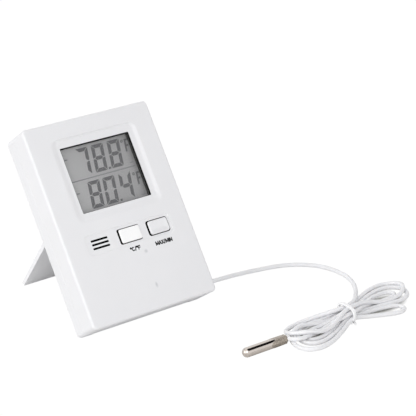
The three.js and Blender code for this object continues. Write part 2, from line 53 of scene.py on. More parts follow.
# ------------------------------------------------------------------ camera
scene = bpy.context.scene
cam_data = bpy.data.cameras.new("camera")
cam_data.lens = 139.49
cam_data.sensor_width = 36
cam_data.clip_start = 0.01
cam_data.clip_end = 50
cam = bpy.data.objects.new("camera", cam_data)
scene.collection.objects.link(cam)
right = Vector((0.8034, -0.5954, 0.0)).normalized()
ahead = Vector((0.5447, 0.7350, -0.4037)).normalized()
up = right.cross(ahead).normalized()
right = ahead.cross(up).normalized()
rot = Matrix((right, up, -ahead)).transposed().to_4x4()
cam.matrix_world = Matrix.Translation((-0.423442, -0.659397, 0.398770)) @ rot
scene.camera = cam


# ------------------------------------------------------------------ mesh tools
def obj_from(name, verts, faces, matrix, scale=MM):
    me = bpy.data.meshes.new(name)
    me.from_pydata([(v[0] * scale, v[1] * scale, v[2] * scale) for v in verts], [], faces)
    me.update()
    o = bpy.data.objects.new(name, me)
    scene.collection.objects.link(o)
    o.matrix_world = matrix
    return o


class Skin:
    """A closed surface made of rings of points, bands between two rings, and flat regions with holes."""

    def __init__(self):
        self.v = []
        self.f = []

    def ring(self, pts):
        a = len(self.v)
        self.v.extend([tuple(map(float, p)) for p in pts])
        return list(range(a, len(self.v)))

    def band(self, a, b):
        n = len(a)
        for i in range(n):
            j = (i + 1) % n
            self.f.append((a[i], a[j], b[j], b[i]))

    def run(self, rings):
        rs = [self.ring(r) for r in rings]
        for a, b in zip(rs[:-1], rs[1:]):
            self.band(a, b)
        return rs[0], rs[-1]

    def fill(self, outer, holes, direction):
        loops = [outer] + list(holes)
        flat = [i for loop in loops for i in loop]
        tris = tessellate_polygon([[Vector(self.v[i]) for i in loop] for loop in loops])
        d = Vector(direction)
        for t in tris:
            a, b, c = (flat[k] for k in t)
            A, B, C = (Vector(self.v[k]) for k in (a, b, c))
            n = (B - A).cross(C - A)
            if n.length < 1e-12:
                continue
            self.f.append((a, b, c) if n.dot(d) > 0 else (a, c, b))

    def make(self, name, matrix, scale=MM):
        o = obj_from(name, self.v, self.f, matrix, scale)
        bm = bmesh.new()
        bm.from_mesh(o.data)
        bmesh.ops.remove_doubles(bm, verts=bm.verts, dist=1e-7)
        bmesh.ops.dissolve_degenerate(bm, edges=bm.edges, dist=1e-8)
        bm.to_mesh(o.data)
        bm.free()
        return o


def rr(rect, r, w, n=7):
    """A rectangle with round corners, counter-clockwise seen from the front."""
    x0, x1, y0, y1 = rect
    r = max(min(r, (x1 - x0) / 2 - 1e-4, (y1 - y0) / 2 - 1e-4), 0.004)
    out = []
    for cx, cy, a0 in ((x1 - r, y0 + r, -90), (x1 - r, y1 - r, 0), (x0 + r, y1 - r, 90), (x0 + r, y0 + r, 180)):
        for k in range(n + 1):
            a = math.radians(a0 + 90 * k / n)
            out.append((cx + r * math.cos(a), cy + r * math.sin(a), w))
    return out


def inset(rect, by):
    return (rect[0] + by, rect[1] - by, rect[2] + by, rect[3] - by)


def rings(rect, r, profile, n=7):
    """Rings of one rectangle at a list of (inset, height)."""
    return [rr(inset(rect, i), r - i, w, n) for i, w in profile]


def circle(x, u, r, w, n=24, back=False):
    pts = [(x + r * math.cos(2 * math.pi * k / n), u + r * math.sin(2 * math.pi * k / n), w) for k in range(n)]
    return pts


def arc(i0, w0, di, dw, steps, out_first):
    """Points of a quarter round from (i0, w0) by (di, dw). out_first says that it leaves along the inset axis."""
    res = []
    for k in range(steps + 1):
        a = math.pi / 2 * k / steps
        if out_first:
            res.append((i0 + di * math.sin(a), w0 + dw * (1 - math.cos(a))))
        else:
            res.append((i0 + di * (1 - math.cos(a)), w0 + dw * math.sin(a)))
    return res


def shade(o, angle=34.0, power=1.5):
    """Normals that are exact on flats and smooth round edges: each flat weighs as much as its whole area."""
    me = o.data
    nf = len(me.polygons)
    if not nf:
        return o
    nrm = np.empty(nf * 3)
    me.polygons.foreach_get("normal", nrm)
    nrm = nrm.reshape(-1, 3)
    area = np.empty(nf)
    me.polygons.foreach_get("area", area)
    nl = len(me.loops)
    edge = np.empty(nl, np.int64)
    vert = np.empty(nl, np.int64)
    me.loops.foreach_get("edge_index", edge)
    me.loops.foreach_get("vertex_index", vert)
    total = np.empty(nf, np.int64)
    me.polygons.foreach_get("loop_total", total)
    poly = np.repeat(np.arange(nf), total)
    order = np.argsort(edge, kind="stable")
    e, p = edge[order], poly[order]
    same = e[1:] == e[:-1]
    a, b = p[:-1][same], p[1:][same]
    flat = (nrm[a] * nrm[b]).sum(1) > math.cos(math.radians(0.35))
    parent = list(range(nf))

    def find(i):
        while parent[i] != i:
            parent[i] = parent[parent[i]]
            i = parent[i]
        return i

    for i, j in zip(a[flat].tolist(), b[flat].tolist()):
        i, j = find(i), find(j)
        if i != j:
            parent[i] = j
    root = np.array([find(i) for i in range(nf)])
    whole = np.zeros(nf)
    np.add.at(whole, root, area)
    weight = (whole[root] * 1e6 + 1e-6) ** power
    around = {}
    for v, q in zip(vert.tolist(), poly.tolist()):
        around.setdefault(v, []).append(q)
    lim = math.cos(math.radians(angle))
    N = nrm.tolist()
    Wt = weight.tolist()
    out = []
    for v, q in zip(vert.tolist(), poly.tolist()):
        n0 = N[q]
        sx = sy = sz = 0.0
        for g in around[v]:
            n1 = N[g]
            if n0[0] * n1[0] + n0[1] * n1[1] + n0[2] * n1[2] > lim:
                k = Wt[g]
                sx += k * n1[0]
                sy += k * n1[1]
                sz += k * n1[2]
        l = math.sqrt(sx * sx + sy * sy + sz * sz) or 1.0
        out.append((sx / l, sy / l, sz / l))
    for pl in me.polygons:
        pl.use_smooth = True
    me.normals_split_custom_set(out)
    return o


def applied(o):
    dg = bpy.context.evaluated_depsgraph_get()
    dg.update()
    me = bpy.data.meshes.new_from_object(o.evaluated_get(dg))
    o.modifiers.clear()
    o.data = me
    me.name = o.name
    return o


def boolean(o, tools, how):
    for t in tools:
        m = o.modifiers.new("b", "BOOLEAN")
        m.operation = how
        m.solver = "EXACT"
        m.object = t
        applied(o)
        bpy.data.objects.remove(t)
    return o


def bevel(o, width, segments=3, angle=50):
    m = o.modifiers.new("bevel", "BEVEL")
    m.width = width * MM
    m.segments = segments
    m.limit_method = "ANGLE"
    m.angle_limit = math.radians(angle)
    m.use_clamp_overlap = True
    return applied(o)


def box_obj(name, x0, x1, y0, y1, z0, z1, matrix, r=0.0, n=4):
    s = Skin()
    a, b = s.run([rr((x0, x1, y0, y1), max(r, 0.004), z0, n if r else 1), rr((x0, x1, y0, y1), max(r, 0.004), z1, n if r else 1)])
    s.fill(a, [], (0, 0, -1))
    s.fill(b, [], (0, 0, 1))
    return s.make(name, matrix)


def turned(name, profile, matrix, seg=48):
    """A turned solid about its own z axis, from [radius, height] points that start and end on the axis."""
    s = Skin()
    first = len(s.v)
    s.v.append((0, 0, profile[0][1]))
    prev = None
    for r, h in profile[1:-1]:
        cur = s.ring([(r * math.cos(2 * math.pi * k / seg), r * math.sin(2 * math.pi * k / seg), h) for k in range(seg)])
        if prev is None:
            for k in range(seg):
                s.f.append((first, cur[(k + 1) % seg], cur[k]))
        else:
            s.band(prev, cur)
        prev = cur
    last = len(s.v)
    s.v.append((0, 0, profile[-1][1]))
    for k in range(seg):
        s.f.append((prev[k], prev[(k + 1) % seg], last))
    return s.make(name, matrix)


def tube_mesh(name, centres, radius, matrix, sides=12, scale=MM, caps=True, squash=None):
    """A round cord as a mesh that follows closely spaced centres, in the units of the matrix."""
    P = np.array(centres, float)
    T = np.gradient(P, axis=0)
    T /= np.linalg.norm(T, axis=1)[:, None]
    ref = np.array([0, 0, 1.0])
    if abs(T[0] @ ref) > 0.9:
        ref = np.array([0, 1.0, 0])
    u = np.cross(T[0], ref)
    u /= np.linalg.norm(u)
    s = Skin()
    prev = None
    for i in range(len(P)):
        u = u - T[i] * (u @ T[i])
        u /= np.linalg.norm(u)
        w = np.cross(T[i], u)
        ri = radius[i] if hasattr(radius, "__len__") else radius
        ring = []
        for k in range(sides):
            a = 2 * math.pi * k / sides
            ring.append(tuple(P[i] + ri * (math.cos(a) * u + math.sin(a) * w)))
        cur = s.ring(ring)
        if prev is None:
            if caps:
                c = s.ring([tuple(P[0])])[0]
                for k in range(sides):
                    s.f.append((c, cur[(k + 1) % sides], cur[k]))
        else:
            s.band(prev, cur)
        prev = cur
    if caps:
        c = s.ring([tuple(P[-1])])[0]
        for k in range(sides):
            s.f.append((prev[k], prev[(k + 1) % sides], c))
    return s.make(name, matrix, scale)


def catmull(points, spacing):
    P = [np.array(p, float) for p in points]
    Q = [2 * P[0] - P[1]] + P + [2 * P[-1] - P[-2]]
    fine = []
    for i in range(1, len(Q) - 2):
        p0, p1, p2, p3 = Q[i - 1 : i + 3]
        for k in range(16):
            t = k / 16
            fine.append(0.5 * (2 * p1 + (p2 - p0) * t + (2 * p0 - 5 * p1 + 4 * p2 - p3) * t * t + (3 * p1 - p0 - 3 * p2 + p3) * t ** 3))
    fine.append(P[-1])
    fine = np.array(fine)
    along = np.concatenate([[0], np.cumsum(np.linalg.norm(np.diff(fine, axis=0), axis=1))])
    at = np.linspace(0, along[-1], max(2, int(round(along[-1] / spacing)) + 1))
    return np.stack([np.interp(at, along, fine[:, k]) for k in range(3)], 1), along[-1]


# ------------------------------------------------------------------ materials
def node(nt, kind, x=0, y=0, **inputs):
    n = nt.nodes.new(kind)
    n.location = (x, y)
    for k, v in inputs.items():
        n.inputs[k.replace("_", " ")].default_value = v
    return n


def material(name, color, rough, metal=0.0, grain=900.0, bump=0.05, rough_var=0.06, tone=0.02, wide=60.0, ior=1.5,
             coat=0.0, sheen=0.0, transmission=0.0, stretch=None, specular=0.5, wide_bump=0.0, distance=0.0001, sss=0.0):
    """Principled material whose colour, roughness and relief vary by noise in the piece's own coordinates."""
    m = bpy.data.materials.new(name)
    m.use_nodes = True
    nt = m.node_tree
    b = nt.nodes["Principled BSDF"]
    b.inputs["Metallic"].default_value = metal
    b.inputs["IOR"].default_value = ior
    b.inputs["Coat Weight"].default_value = coat
    b.inputs["Coat Roughness"].default_value = 0.08
    b.inputs["Sheen Weight"].default_value = sheen
    b.inputs["Specular IOR Level"].default_value = specular
    b.inputs["Transmission Weight"].default_value = transmission
    if sss:
        b.inputs["Subsurface Weight"].default_value = sss
        b.inputs["Subsurface Radius"].default_value = (0.0012, 0.0011, 0.0010)
        b.inputs["Subsurface Scale"].default_value = 1.0
    tc = node(nt, "ShaderNodeTexCoord", -1100, 0)
    mp = node(nt, "ShaderNodeMapping", -900, 0)
    nt.links.new(tc.outputs["Object"], mp.inputs["Vector"])
    if stretch:
        mp.inputs["Scale"].default_value = stretch
    fine = node(nt, "ShaderNodeTexNoise", -700, 200, Scale=grain, Detail=4.0, Roughness=0.6)
    broad = node(nt, "ShaderNodeTexNoise", -700, -100, Scale=wide, Detail=3.0, Roughness=0.55)
    nt.links.new(mp.outputs["Vector"], fine.inputs["Vector"])
    nt.links.new(mp.outputs["Vector"], broad.inputs["Vector"])
    ramp = node(nt, "ShaderNodeValToRGB", -450, 100)
    lo = tuple(max(c * (1 - tone), 0) for c in color) + (1,)
    hi = tuple(min(c * (1 + tone * 0.6), 1) for c in color) + (1,)
    ramp.color_ramp.elements[0].position = 0.3
    ramp.color_ramp.elements[1].position = 0.7
    ramp.color_ramp.elements[0].color = lo
    ramp.color_ramp.elements[1].color = hi
    nt.links.new(broad.outputs["Fac"], ramp.inputs["Fac"])
    nt.links.new(ramp.outputs["Color"], b.inputs["Base Color"])
    rm = node(nt, "ShaderNodeMapRange", -450, -200)
    rm.inputs["From Min"].default_value = 0.3
    rm.inputs["From Max"].default_value = 0.7
    rm.inputs["To Min"].default_value = max(rough - rough_var, 0.01)
    rm.inputs["To Max"].default_value = min(rough + rough_var, 1.0)
    nt.links.new(fine.outputs["Fac"], rm.inputs["Value"])
    nt.links.new(rm.outputs["Result"], b.inputs["Roughness"])
    bp = node(nt, "ShaderNodeBump", -250, -350, Strength=bump, Distance=distance)
    nt.links.new(fine.outputs["Fac"], bp.inputs["Height"])
    if wide_bump:
        bp2 = node(nt, "ShaderNodeBump", -450, -450, Strength=wide_bump, Distance=distance * 3)
        nt.links.new(broad.outputs["Fac"], bp2.inputs["Height"])
        nt.links.new(bp2.outputs["Normal"], bp.inputs["Normal"])
    nt.links.new(bp.outputs["Normal"], b.inputs["Normal"])
    return m


def dress(o, m, body):
    o.data.materials.clear()
    o.data.materials.append(m)
    if body:
        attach(o, body)
    return o


def srgb(r, g=None, b=None):
    if g is None:
        g = b = r
    out = []
    for c in (r, g, b):
        c /= 255
        out.append(c / 12.92 if c <= 0.04045 else ((c + 0.055) / 1.055) ** 2.4)
    return tuple(out)


# ------------------------------------------------------------------ material set
M = {}
M["case"] = material("white_plastic", srgb(236, 236, 238), 0.52, grain=2600, bump=0.10, rough_var=0.07, tone=0.012, wide=35, wide_bump=0.04, sss=0.05)
# painted light: the leg is of the case's plastic, given a lighter colour than the case's to make it show brighter
M["leg"] = material("white_plastic_leg_painted_light", srgb(243, 243, 245), 0.5, grain=2600, bump=0.10, rough_var=0.07, tone=0.012, wide=35, wide_bump=0.04)
M["key"] = material("white_key", srgb(255, 255, 255), 0.24, grain=2200, bump=0.03, rough_var=0.05, tone=0.01, wide=80, coat=0.3)
M["key_grey"] = material("gloss_key", srgb(238, 238, 240), 0.10, grain=1500, bump=0.01, rough_var=0.03, tone=0.02, wide=120, coat=0.6)
M["black"] = material("black_plastic", srgb(12, 12, 13), 0.6, grain=2200, bump=0.15, rough_var=0.1, tone=0.2, wide=90)
M["matt"] = material("matt_black", srgb(8, 8, 9), 0.9, grain=2600, bump=0.1, rough_var=0.05, tone=0.2, wide=90, ior=1.15)
M["cord"] = material("cord_jacket", srgb(239, 239, 241), 0.44, grain=1500, bump=0.08, rough_var=0.08, tone=0.02, wide=70, wide_bump=0.05, sss=0.12)
M["tie"] = material("tie_plastic", srgb(246, 246, 247), 0.32, grain=1800, bump=0.08, rough_var=0.08, tone=0.015, wide=150, coat=0.1)
M["steel"] = material("probe_steel", srgb(218, 209, 201), 0.10, metal=1.0, grain=900, bump=0.05, rough_var=0.05, tone=0.05, wide=120, stretch=(0.25, 4.0, 4.0))
M["crimp"] = material("probe_steel_crimped", srgb(186, 176, 164), 0.2, metal=1.0, grain=1900, bump=0.35, rough_var=0.15, tone=0.35, wide=900, stretch=(0.35, 3.0, 3.0), wide_bump=0.3)
M["zinc"] = material("plated_steel", srgb(190, 192, 195), 0.3, metal=1.0, grain=1500, bump=0.12, rough_var=0.12, tone=0.12, wide=200)
M["lcd"] = material("lcd_glass", srgb(171, 171, 172), 0.35, grain=5000, bump=0.03, rough_var=0.05, tone=0.02, wide=40)
M["lcd_edge"] = material("glass_edge", srgb(150, 168, 160), 0.12, grain=900, bump=0.03, rough_var=0.03, tone=0.05, wide=90, coat=0.4)
M["seg"] = material("lcd_segment", srgb(84, 84, 87), 0.35, grain=4000, bump=0.02, rough_var=0.05, tone=0.03, wide=60)
M["seg_off"] = material("lcd_segment_off", srgb(124, 124, 127), 0.35, grain=4000, bump=0.02, rough_var=0.05, tone=0.02, wide=60)
M["ink"] = material("legend_ink", srgb(20, 20, 22), 0.5, grain=3500, bump=0.1, rough_var=0.1, tone=0.1, wide=500)
M["foil"] = material("reflector_foil", srgb(200, 201, 203), 0.35, metal=0.7, grain=2500, bump=0.2, rough_var=0.1, tone=0.05, wide=100)
M["rubber"] = material("contact_rubber", srgb(86, 87, 92), 0.75, grain=800, bump=0.2, rough_var=0.1, tone=0.35, wide=900, stretch=(6.0, 0.3, 0.3))
M["epoxy"] = material("black_epoxy", srgb(18, 18, 20), 0.3, grain=900, bump=0.15, rough_var=0.12, tone=0.2, wide=150, coat=0.3)
M["can"] = material("metal_can", srgb(205, 206, 209), 0.2, metal=1.0, grain=900, bump=0.1, rough_var=0.1, tone=0.08, wide=300, stretch=(0.2, 3, 3))
M["amber"] = material("amber_ceramic", srgb(196, 146, 82), 0.42, grain=1400, bump=0.15, rough_var=0.1, tone=0.14, wide=400, coat=0.3)
M["red"] = material("red_wire", srgb(184, 36, 32), 0.4, grain=1200, bump=0.1, rough_var=0.08, tone=0.06, wide=160)
M["black_wire"] = material("black_wire", srgb(26, 26, 28), 0.42, grain=1200, bump=0.1, rough_var=0.08, tone=0.1, wide=160)
M["led"] = material("lead_white", srgb(232, 232, 230), 0.42, grain=1200, bump=0.1, rough_var=0.08, tone=0.05, wide=160)


def board_material():
    m = material("board_laminate", srgb(44, 104, 60), 0.38, grain=1200, bump=0.1, rough_var=0.1, tone=0.08, wide=60, coat=0.4)
    nt = m.node_tree
    b = nt.nodes["Principled BSDF"]
    tc = nt.nodes["Texture Coordinate"]
    brick = node(nt, "ShaderNodeTexBrick", -700, 500)
    brick.inputs["Scale"].default_value = 190
    brick.inputs["Mortar Size"].default_value = 0.035
    brick.inputs["Brick Width"].default_value = 1.7
    brick.inputs["Row Height"].default_value = 0.35
    brick.inputs["Color1"].default_value = srgb(40, 98, 56) + (1,)
    brick.inputs["Color2"].default_value = srgb(46, 110, 62) + (1,)
    brick.inputs["Mortar"].default_value = srgb(86, 148, 88) + (1,)
    nt.links.new(tc.outputs["Object"], brick.inputs["Vector"])
    nt.links.new(brick.outputs["Color"], b.inputs["Base Color"])
    return m


def cell_material():
    m = material("cell_jacket", srgb(58, 100, 140), 0.26, grain=900, bump=0.04, rough_var=0.06, tone=0.08, wide=90, coat=0.3, metal=0.5)
    nt = m.node_tree
    b = nt.nodes["Principled BSDF"]
    tc = nt.nodes["Texture Coordinate"]
    sep = node(nt, "ShaderNodeSeparateXYZ", -700, 500)
    ramp = node(nt, "ShaderNodeValToRGB", -450, 500)
    mr = node(nt, "ShaderNodeMapRange", -600, 400)
    mr.inputs["From Min"].default_value = -0.020
    mr.inputs["From Max"].default_value = 0.0255
    nt.links.new(tc.outputs["Object"], sep.inputs["Vector"])
    nt.links.new(sep.outputs["X"], mr.inputs["Value"])
    nt.links.new(mr.outputs["Result"], ramp.inputs["Fac"])
    e = ramp.color_ramp
    e.interpolation = "CONSTANT"
    e.elements[0].position = 0.0
    e.elements[0].color = srgb(176, 178, 181) + (1,)
    e.elements[1].position = 0.03
    e.elements[1].color = srgb(34, 74, 116) + (1,)
    for p, c in ((0.66, (206, 208, 212)), (0.69, (34, 74, 116)), (0.74, (190, 192, 196)), (0.96, (186, 188, 190))):
        x = e.elements.new(p)
        x.color = srgb(*c) + (1,)
    nt.links.new(ramp.outputs["Color"], b.inputs["Base Color"])
    return m


M["board"] = board_material()
M["cell"] = cell_material()


def case_face_material():
    """The case's plastic, with two faint sink marks under the buttons: shallow dents in the relief, whose colour is
    also darkened as painted shade.
    """
    m = material("white_plastic_face", srgb(236, 236, 238), 0.52, grain=2600, bump=0.10, rough_var=0.07, tone=0.012, wide=35, wide_bump=0.04, sss=0.05)
    nt = m.node_tree
    b = nt.nodes["Principled BSDF"]
    tc = nt.nodes["Texture Coordinate"]
    last = [n for n in nt.nodes if n.type == "BUMP" and n.outputs["Normal"].is_linked and n.outputs["Normal"].links[0].to_node == b][0]
    prev = None
    for x, u, rx, ru in ((6.0, 31.3, 1.35, 1.35), (4.9, 12.7, 1.0, 1.9)):
        mp = node(nt, "ShaderNodeMapping", -900, 700)
        mp.vector_type = "TEXTURE"
        mp.inputs["Location"].default_value = (x * MM, u * MM, 20.5 * MM)
        mp.inputs["Scale"].default_value = (rx * MM, ru * MM, 1.0 * MM)
        nt.links.new(tc.outputs["Object"], mp.inputs["Vector"])
        g = node(nt, "ShaderNodeTexGradient", -700, 700)
        g.gradient_type = "SPHERICAL"
        nt.links.new(mp.outputs["Vector"], g.inputs["Vector"])
        bp = node(nt, "ShaderNodeBump", -200, 700, Strength=0.55, Distance=0.00028)
        bp.invert = True
        nt.links.new(g.outputs["Fac"], bp.inputs["Height"])
        if prev:
            nt.links.new(prev.outputs["Normal"], bp.inputs["Normal"])
        else:
            nt.links.new(last.outputs["Normal"], bp.inputs["Normal"])
        prev = bp
    nt.links.new(prev.outputs["Normal"], b.inputs["Normal"])
    # painted shade: the base colour is multiplied darker over the two sink marks, standing in for the shade in the
    # dents
    grads = [n for n in nt.nodes if n.type == "TEX_GRADIENT"]
    add = node(nt, "ShaderNodeMath", -500, 900)
    add.operation = "ADD"
    nt.links.new(grads[0].outputs["Fac"], add.inputs[0])
    nt.links.new(grads[1].outputs["Fac"], add.inputs[1])
    painted_sink_shade = node(nt, "ShaderNodeValToRGB", -350, 900)
    painted_sink_shade.color_ramp.elements[0].position = 0.0
    painted_sink_shade.color_ramp.elements[0].color = (1, 1, 1, 1)
    painted_sink_shade.color_ramp.elements[1].position = 0.7
    painted_sink_shade.color_ramp.elements[1].color = (0.80, 0.80, 0.81, 1)
    nt.links.new(add.outputs["Value"], painted_sink_shade.inputs["Fac"])
    mix = node(nt, "ShaderNodeMix", -100, 900)
    mix.data_type = "RGBA"
    mix.blend_type = "MULTIPLY"
    mix.inputs["Factor"].default_value = 1.0
    base = b.inputs["Base Color"].links[0].from_socket
    nt.links.new(base, mix.inputs[6])
    nt.links.new(painted_sink_shade.outputs["Color"], mix.inputs[7])
    nt.links.new(mix.outputs[2], b.inputs["Base Color"])
    return m


M["face"] = case_face_material()

# ------------------------------------------------------------------ probe cord, its tie and its steel probe
ROUTE = [
    (39.15, -2.44, 9.40), (42.74, -2.53, 9.38), (46.22, -3.21, 9.11), (49.67, -2.42, 8.52), (53.08, -1.49, 7.84), (56.46, -0.48, 7.11),
    (59.82, 0.54, 6.33), (63.17, 1.57, 5.53), (66.55, 2.52, 4.75), (69.95, 3.39, 3.97), (73.37, 4.23, 3.23), (76.82, 4.99, 2.52), (80.33, 5.46, 1.90),
    (83.89, 5.57, 1.41), (87.46, 5.20, 1.25), (90.98, 4.46, 1.22), (94.43, 3.46, 1.23), (97.86, 2.39, 1.23), (101.13, 0.88, 1.23),
    (104.26, -0.88, 1.23), (107.25, -2.88, 1.23), (109.98, -5.22, 1.23), (112.51, -7.78, 1.23), (114.65, -10.67, 1.23), (116.31, -13.85, 1.23),
    (117.55, -17.23, 1.23), (118.43, -20.72, 1.22), (118.89, -24.28, 1.22), (118.91, -27.88, 1.22), (118.47, -31.45, 1.22), (117.58, -34.93, 1.22),
    (116.27, -38.28, 1.22), (114.60, -41.46, 1.22), (112.62, -44.46, 1.22), (110.42, -47.30, 1.38), (108.08, -49.98, 1.92), (105.70, -52.53, 2.80),
    (103.30, -55.02, 3.79), (100.83, -57.51, 4.58), (98.21, -59.90, 5.16), (95.37, -62.05, 5.66), (92.27, -63.81, 6.12), (88.88, -64.95, 6.45),
    (85.31, -65.11, 6.40), (81.85, -64.32, 5.88), (78.58, -63.05, 5.09), (75.39, -61.62, 4.25), (72.15, -60.25, 3.47), (68.82, -59.12, 2.73),
    (65.39, -58.29, 2.06), (61.86, -57.79, 1.55), (58.28, -57.73, 1.26), (54.75, -58.35, 1.22), (51.53, -59.89, 1.50), (49.12, -62.42, 2.24),
    (48.07, -65.64, 3.34), (48.71, -68.96, 4.44), (50.80, -71.72, 5.35), (53.78, -73.64, 5.81), (57.15, -74.73, 5.37), (60.62, -75.11, 4.52),
    (64.15, -74.98, 3.85), (67.70, -74.45, 3.64), (71.17, -73.62, 3.99), (74.51, -72.57, 4.82), (77.75, -71.37, 5.83), (81.02, -70.12, 6.63),
    (84.41, -68.97, 7.01), (87.88, -68.06, 7.05), (91.39, -67.29, 6.84), (94.92, -66.66, 6.55), (98.46, -66.22, 6.13), (101.94, -66.00, 5.25),
    (105.37, -65.95, 4.16), (108.82, -66.05, 3.17), (112.34, -66.25, 2.43), (115.90, -66.49, 1.98), (119.49, -66.54, 1.81), (123.07, -66.21, 1.92),
    (126.52, -65.34, 2.33), (129.68, -63.74, 2.95), (132.21, -61.28, 3.51), (133.64, -58.04, 3.40), (133.40, -54.60, 2.52), (131.51, -51.70, 1.67),
    (128.45, -49.91, 1.26), (124.93, -49.25, 1.22), (121.34, -49.43, 1.22), (117.82, -50.15, 1.22), (114.38, -51.22, 1.22), (111.02, -52.50, 1.22),
    (107.71, -53.90, 1.22), (104.42, -55.36, 1.37), (101.20, -56.83, 1.97), (98.12, -58.46, 2.86), (95.12, -60.25, 3.71), (92.00, -61.89, 4.44),
    (88.63, -63.00, 4.94), (85.07, -63.20, 4.77), (81.66, -62.75, 3.72), (78.31, -62.18, 2.53), (74.87, -61.65, 1.64), (71.33, -61.24, 1.23),
    (67.74, -61.02, 1.22), (64.15, -61.20, 1.22), (60.65, -62.00, 1.22), (57.40, -63.53, 1.22), (54.56, -65.73, 1.22), (52.30, -68.52, 1.22),
    (51.06, -71.87, 1.22), (51.33, -75.41, 1.22), (53.40, -78.29, 1.22), (56.67, -79.71, 1.22), (60.25, -79.82, 1.22), (63.78, -79.14, 1.22),
    (67.19, -78.01, 1.22), (70.52, -76.64, 1.22), (73.78, -75.12, 1.22), (76.99, -73.51, 1.28), (80.17, -71.85, 1.59), (83.41, -70.38, 2.11),
    (86.81, -69.39, 2.57), (90.35, -68.96, 2.21), (93.90, -68.93, 1.64), (97.48, -69.06, 1.28), (101.06, -69.29, 1.22), (104.64, -69.65, 1.22),
    (108.20, -70.15, 1.22), (111.73, -70.85, 1.22), (115.14, -71.98, 1.22), (118.05, -74.04, 1.22), (118.47, -77.40, 1.22), (115.55, -79.29, 1.22),
    (111.97, -79.25, 1.22), (108.52, -78.27, 1.22), (105.19, -76.91, 1.22), (101.89, -75.48, 1.22), (98.55, -74.14, 1.24), (95.14, -73.03, 1.50),
    (91.66, -72.30, 2.02), (88.11, -72.13, 2.57), (84.59, -72.73, 2.41), (81.27, -74.03, 1.89), (78.10, -75.66, 1.45), (74.92, -77.34, 1.24),
    (71.74, -79.00, 1.22), (68.52, -80.61, 1.22), (65.24, -82.08, 1.22), (61.86, -83.32, 1.22), (58.37, -84.17, 1.22), (54.78, -84.43, 1.22),
    (51.25, -83.86, 1.22), (48.11, -82.15, 1.22), (45.99, -79.29, 1.22), (45.35, -75.78, 1.22), (46.02, -72.26, 1.22), (47.63, -69.05, 1.28),
    (49.95, -66.39, 1.84), (52.88, -64.57, 2.82), (56.27, -63.71, 3.58), (59.85, -63.66, 3.45), (63.40, -63.91, 2.89), (66.93, -64.18, 2.27),
    (70.49, -64.37, 1.78), (74.07, -64.55, 1.51), (77.67, -64.63, 1.53), (81.24, -64.46, 1.85), (84.75, -63.92, 2.37), (88.23, -63.09, 2.52),
    (91.66, -62.14, 2.02), (95.09, -61.20, 1.48), (98.53, -60.19, 1.22), (101.93, -59.01, 1.22), (105.27, -57.70, 1.22), (108.63, -56.40, 1.22),
    (112.03, -55.22, 1.22), (115.49, -54.24, 1.22), (119.01, -53.54, 1.22), (122.60, -53.25, 1.22), (126.17, -53.59, 1.22), (129.51, -54.88, 1.22),
    (132.08, -57.35, 1.22), (133.16, -60.74, 1.22), (132.42, -64.21, 1.22), (130.15, -66.97, 1.22), (126.99, -68.65, 1.22), (123.48, -69.36, 1.22),
    (119.88, -69.38, 1.22), (116.31, -69.01, 1.22), (112.75, -68.46, 1.22), (109.21, -67.84, 1.22), (105.65, -67.31, 1.22), (102.07, -66.93, 1.22),
    (98.49, -66.67, 1.29), (94.99, -66.60, 2.09), (91.65, -66.85, 3.39), (88.24, -67.17, 4.49), (84.68, -67.32, 4.74), (81.16, -67.29, 4.00),
    (77.73, -67.16, 2.94), (74.26, -66.99, 2.00), (70.72, -66.80, 1.41), (67.13, -66.67, 1.22), (63.54, -66.85, 1.22), (60.03, -67.58, 1.22),
    (56.81, -69.17, 1.22), (54.60, -71.93, 1.22), (55.60, -75.11, 1.22), (58.99, -76.19, 1.22), (62.58, -76.08, 1.22), (66.10, -75.36, 1.22),
    (69.52, -74.24, 1.22), (72.83, -72.84, 1.22), (76.07, -71.27, 1.22), (79.24, -69.60, 1.37), (82.40, -67.95, 1.90), (85.62, -66.51, 2.54),
    (89.03, -65.40, 2.46), (92.47, -64.45, 1.99), (95.91, -63.50, 1.56), (99.35, -62.48, 1.30), (102.75, -61.30, 1.22), (106.11, -60.03, 1.22),
    (109.51, -58.86, 1.22), (112.99, -57.94, 1.22), (116.54, -57.39, 1.22), (120.14, -57.39, 1.22), (123.59, -58.31, 1.22), (125.63, -61.05, 1.22),
    (123.36, -63.57, 1.22), (119.83, -64.16, 1.22), (116.23, -64.18, 1.22), (112.64, -64.09, 1.22), (109.05, -64.10, 1.41), (105.50, -64.38, 1.97),
    (102.07, -65.05, 2.80), (98.76, -66.18, 3.62), (95.51, -67.59, 4.24), (92.20, -68.92, 4.62), (88.75, -69.93, 4.85), (85.19, -70.42, 4.81),
    (81.63, -70.43, 4.30), (78.09, -70.20, 3.70), (74.59, -70.00, 2.94), (71.10, -70.03, 2.07), (67.57, -70.37, 1.47), (64.05, -71.06, 1.43),
    (60.63, -72.01, 1.99), (57.30, -73.07, 2.85), (53.91, -74.05, 3.47), (50.36, -74.51, 3.65), (46.97, -73.52, 3.68), (44.94, -70.67, 3.25),
    (43.20, -68.50, 2.64),
]


def T(p):
    return (p[0] * MM, (p[1] + SHIFT_Y) * MM, p[2] * MM)


centres, cord_len = catmull(ROUTE, 0.9)
cord = tube_mesh("probe_cord", centres, 1.2, TABLE, sides=16)
shade(cord, 50)
dress(cord, M["cord"], "case")
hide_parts("probe_cable", "probe_cable_hank")

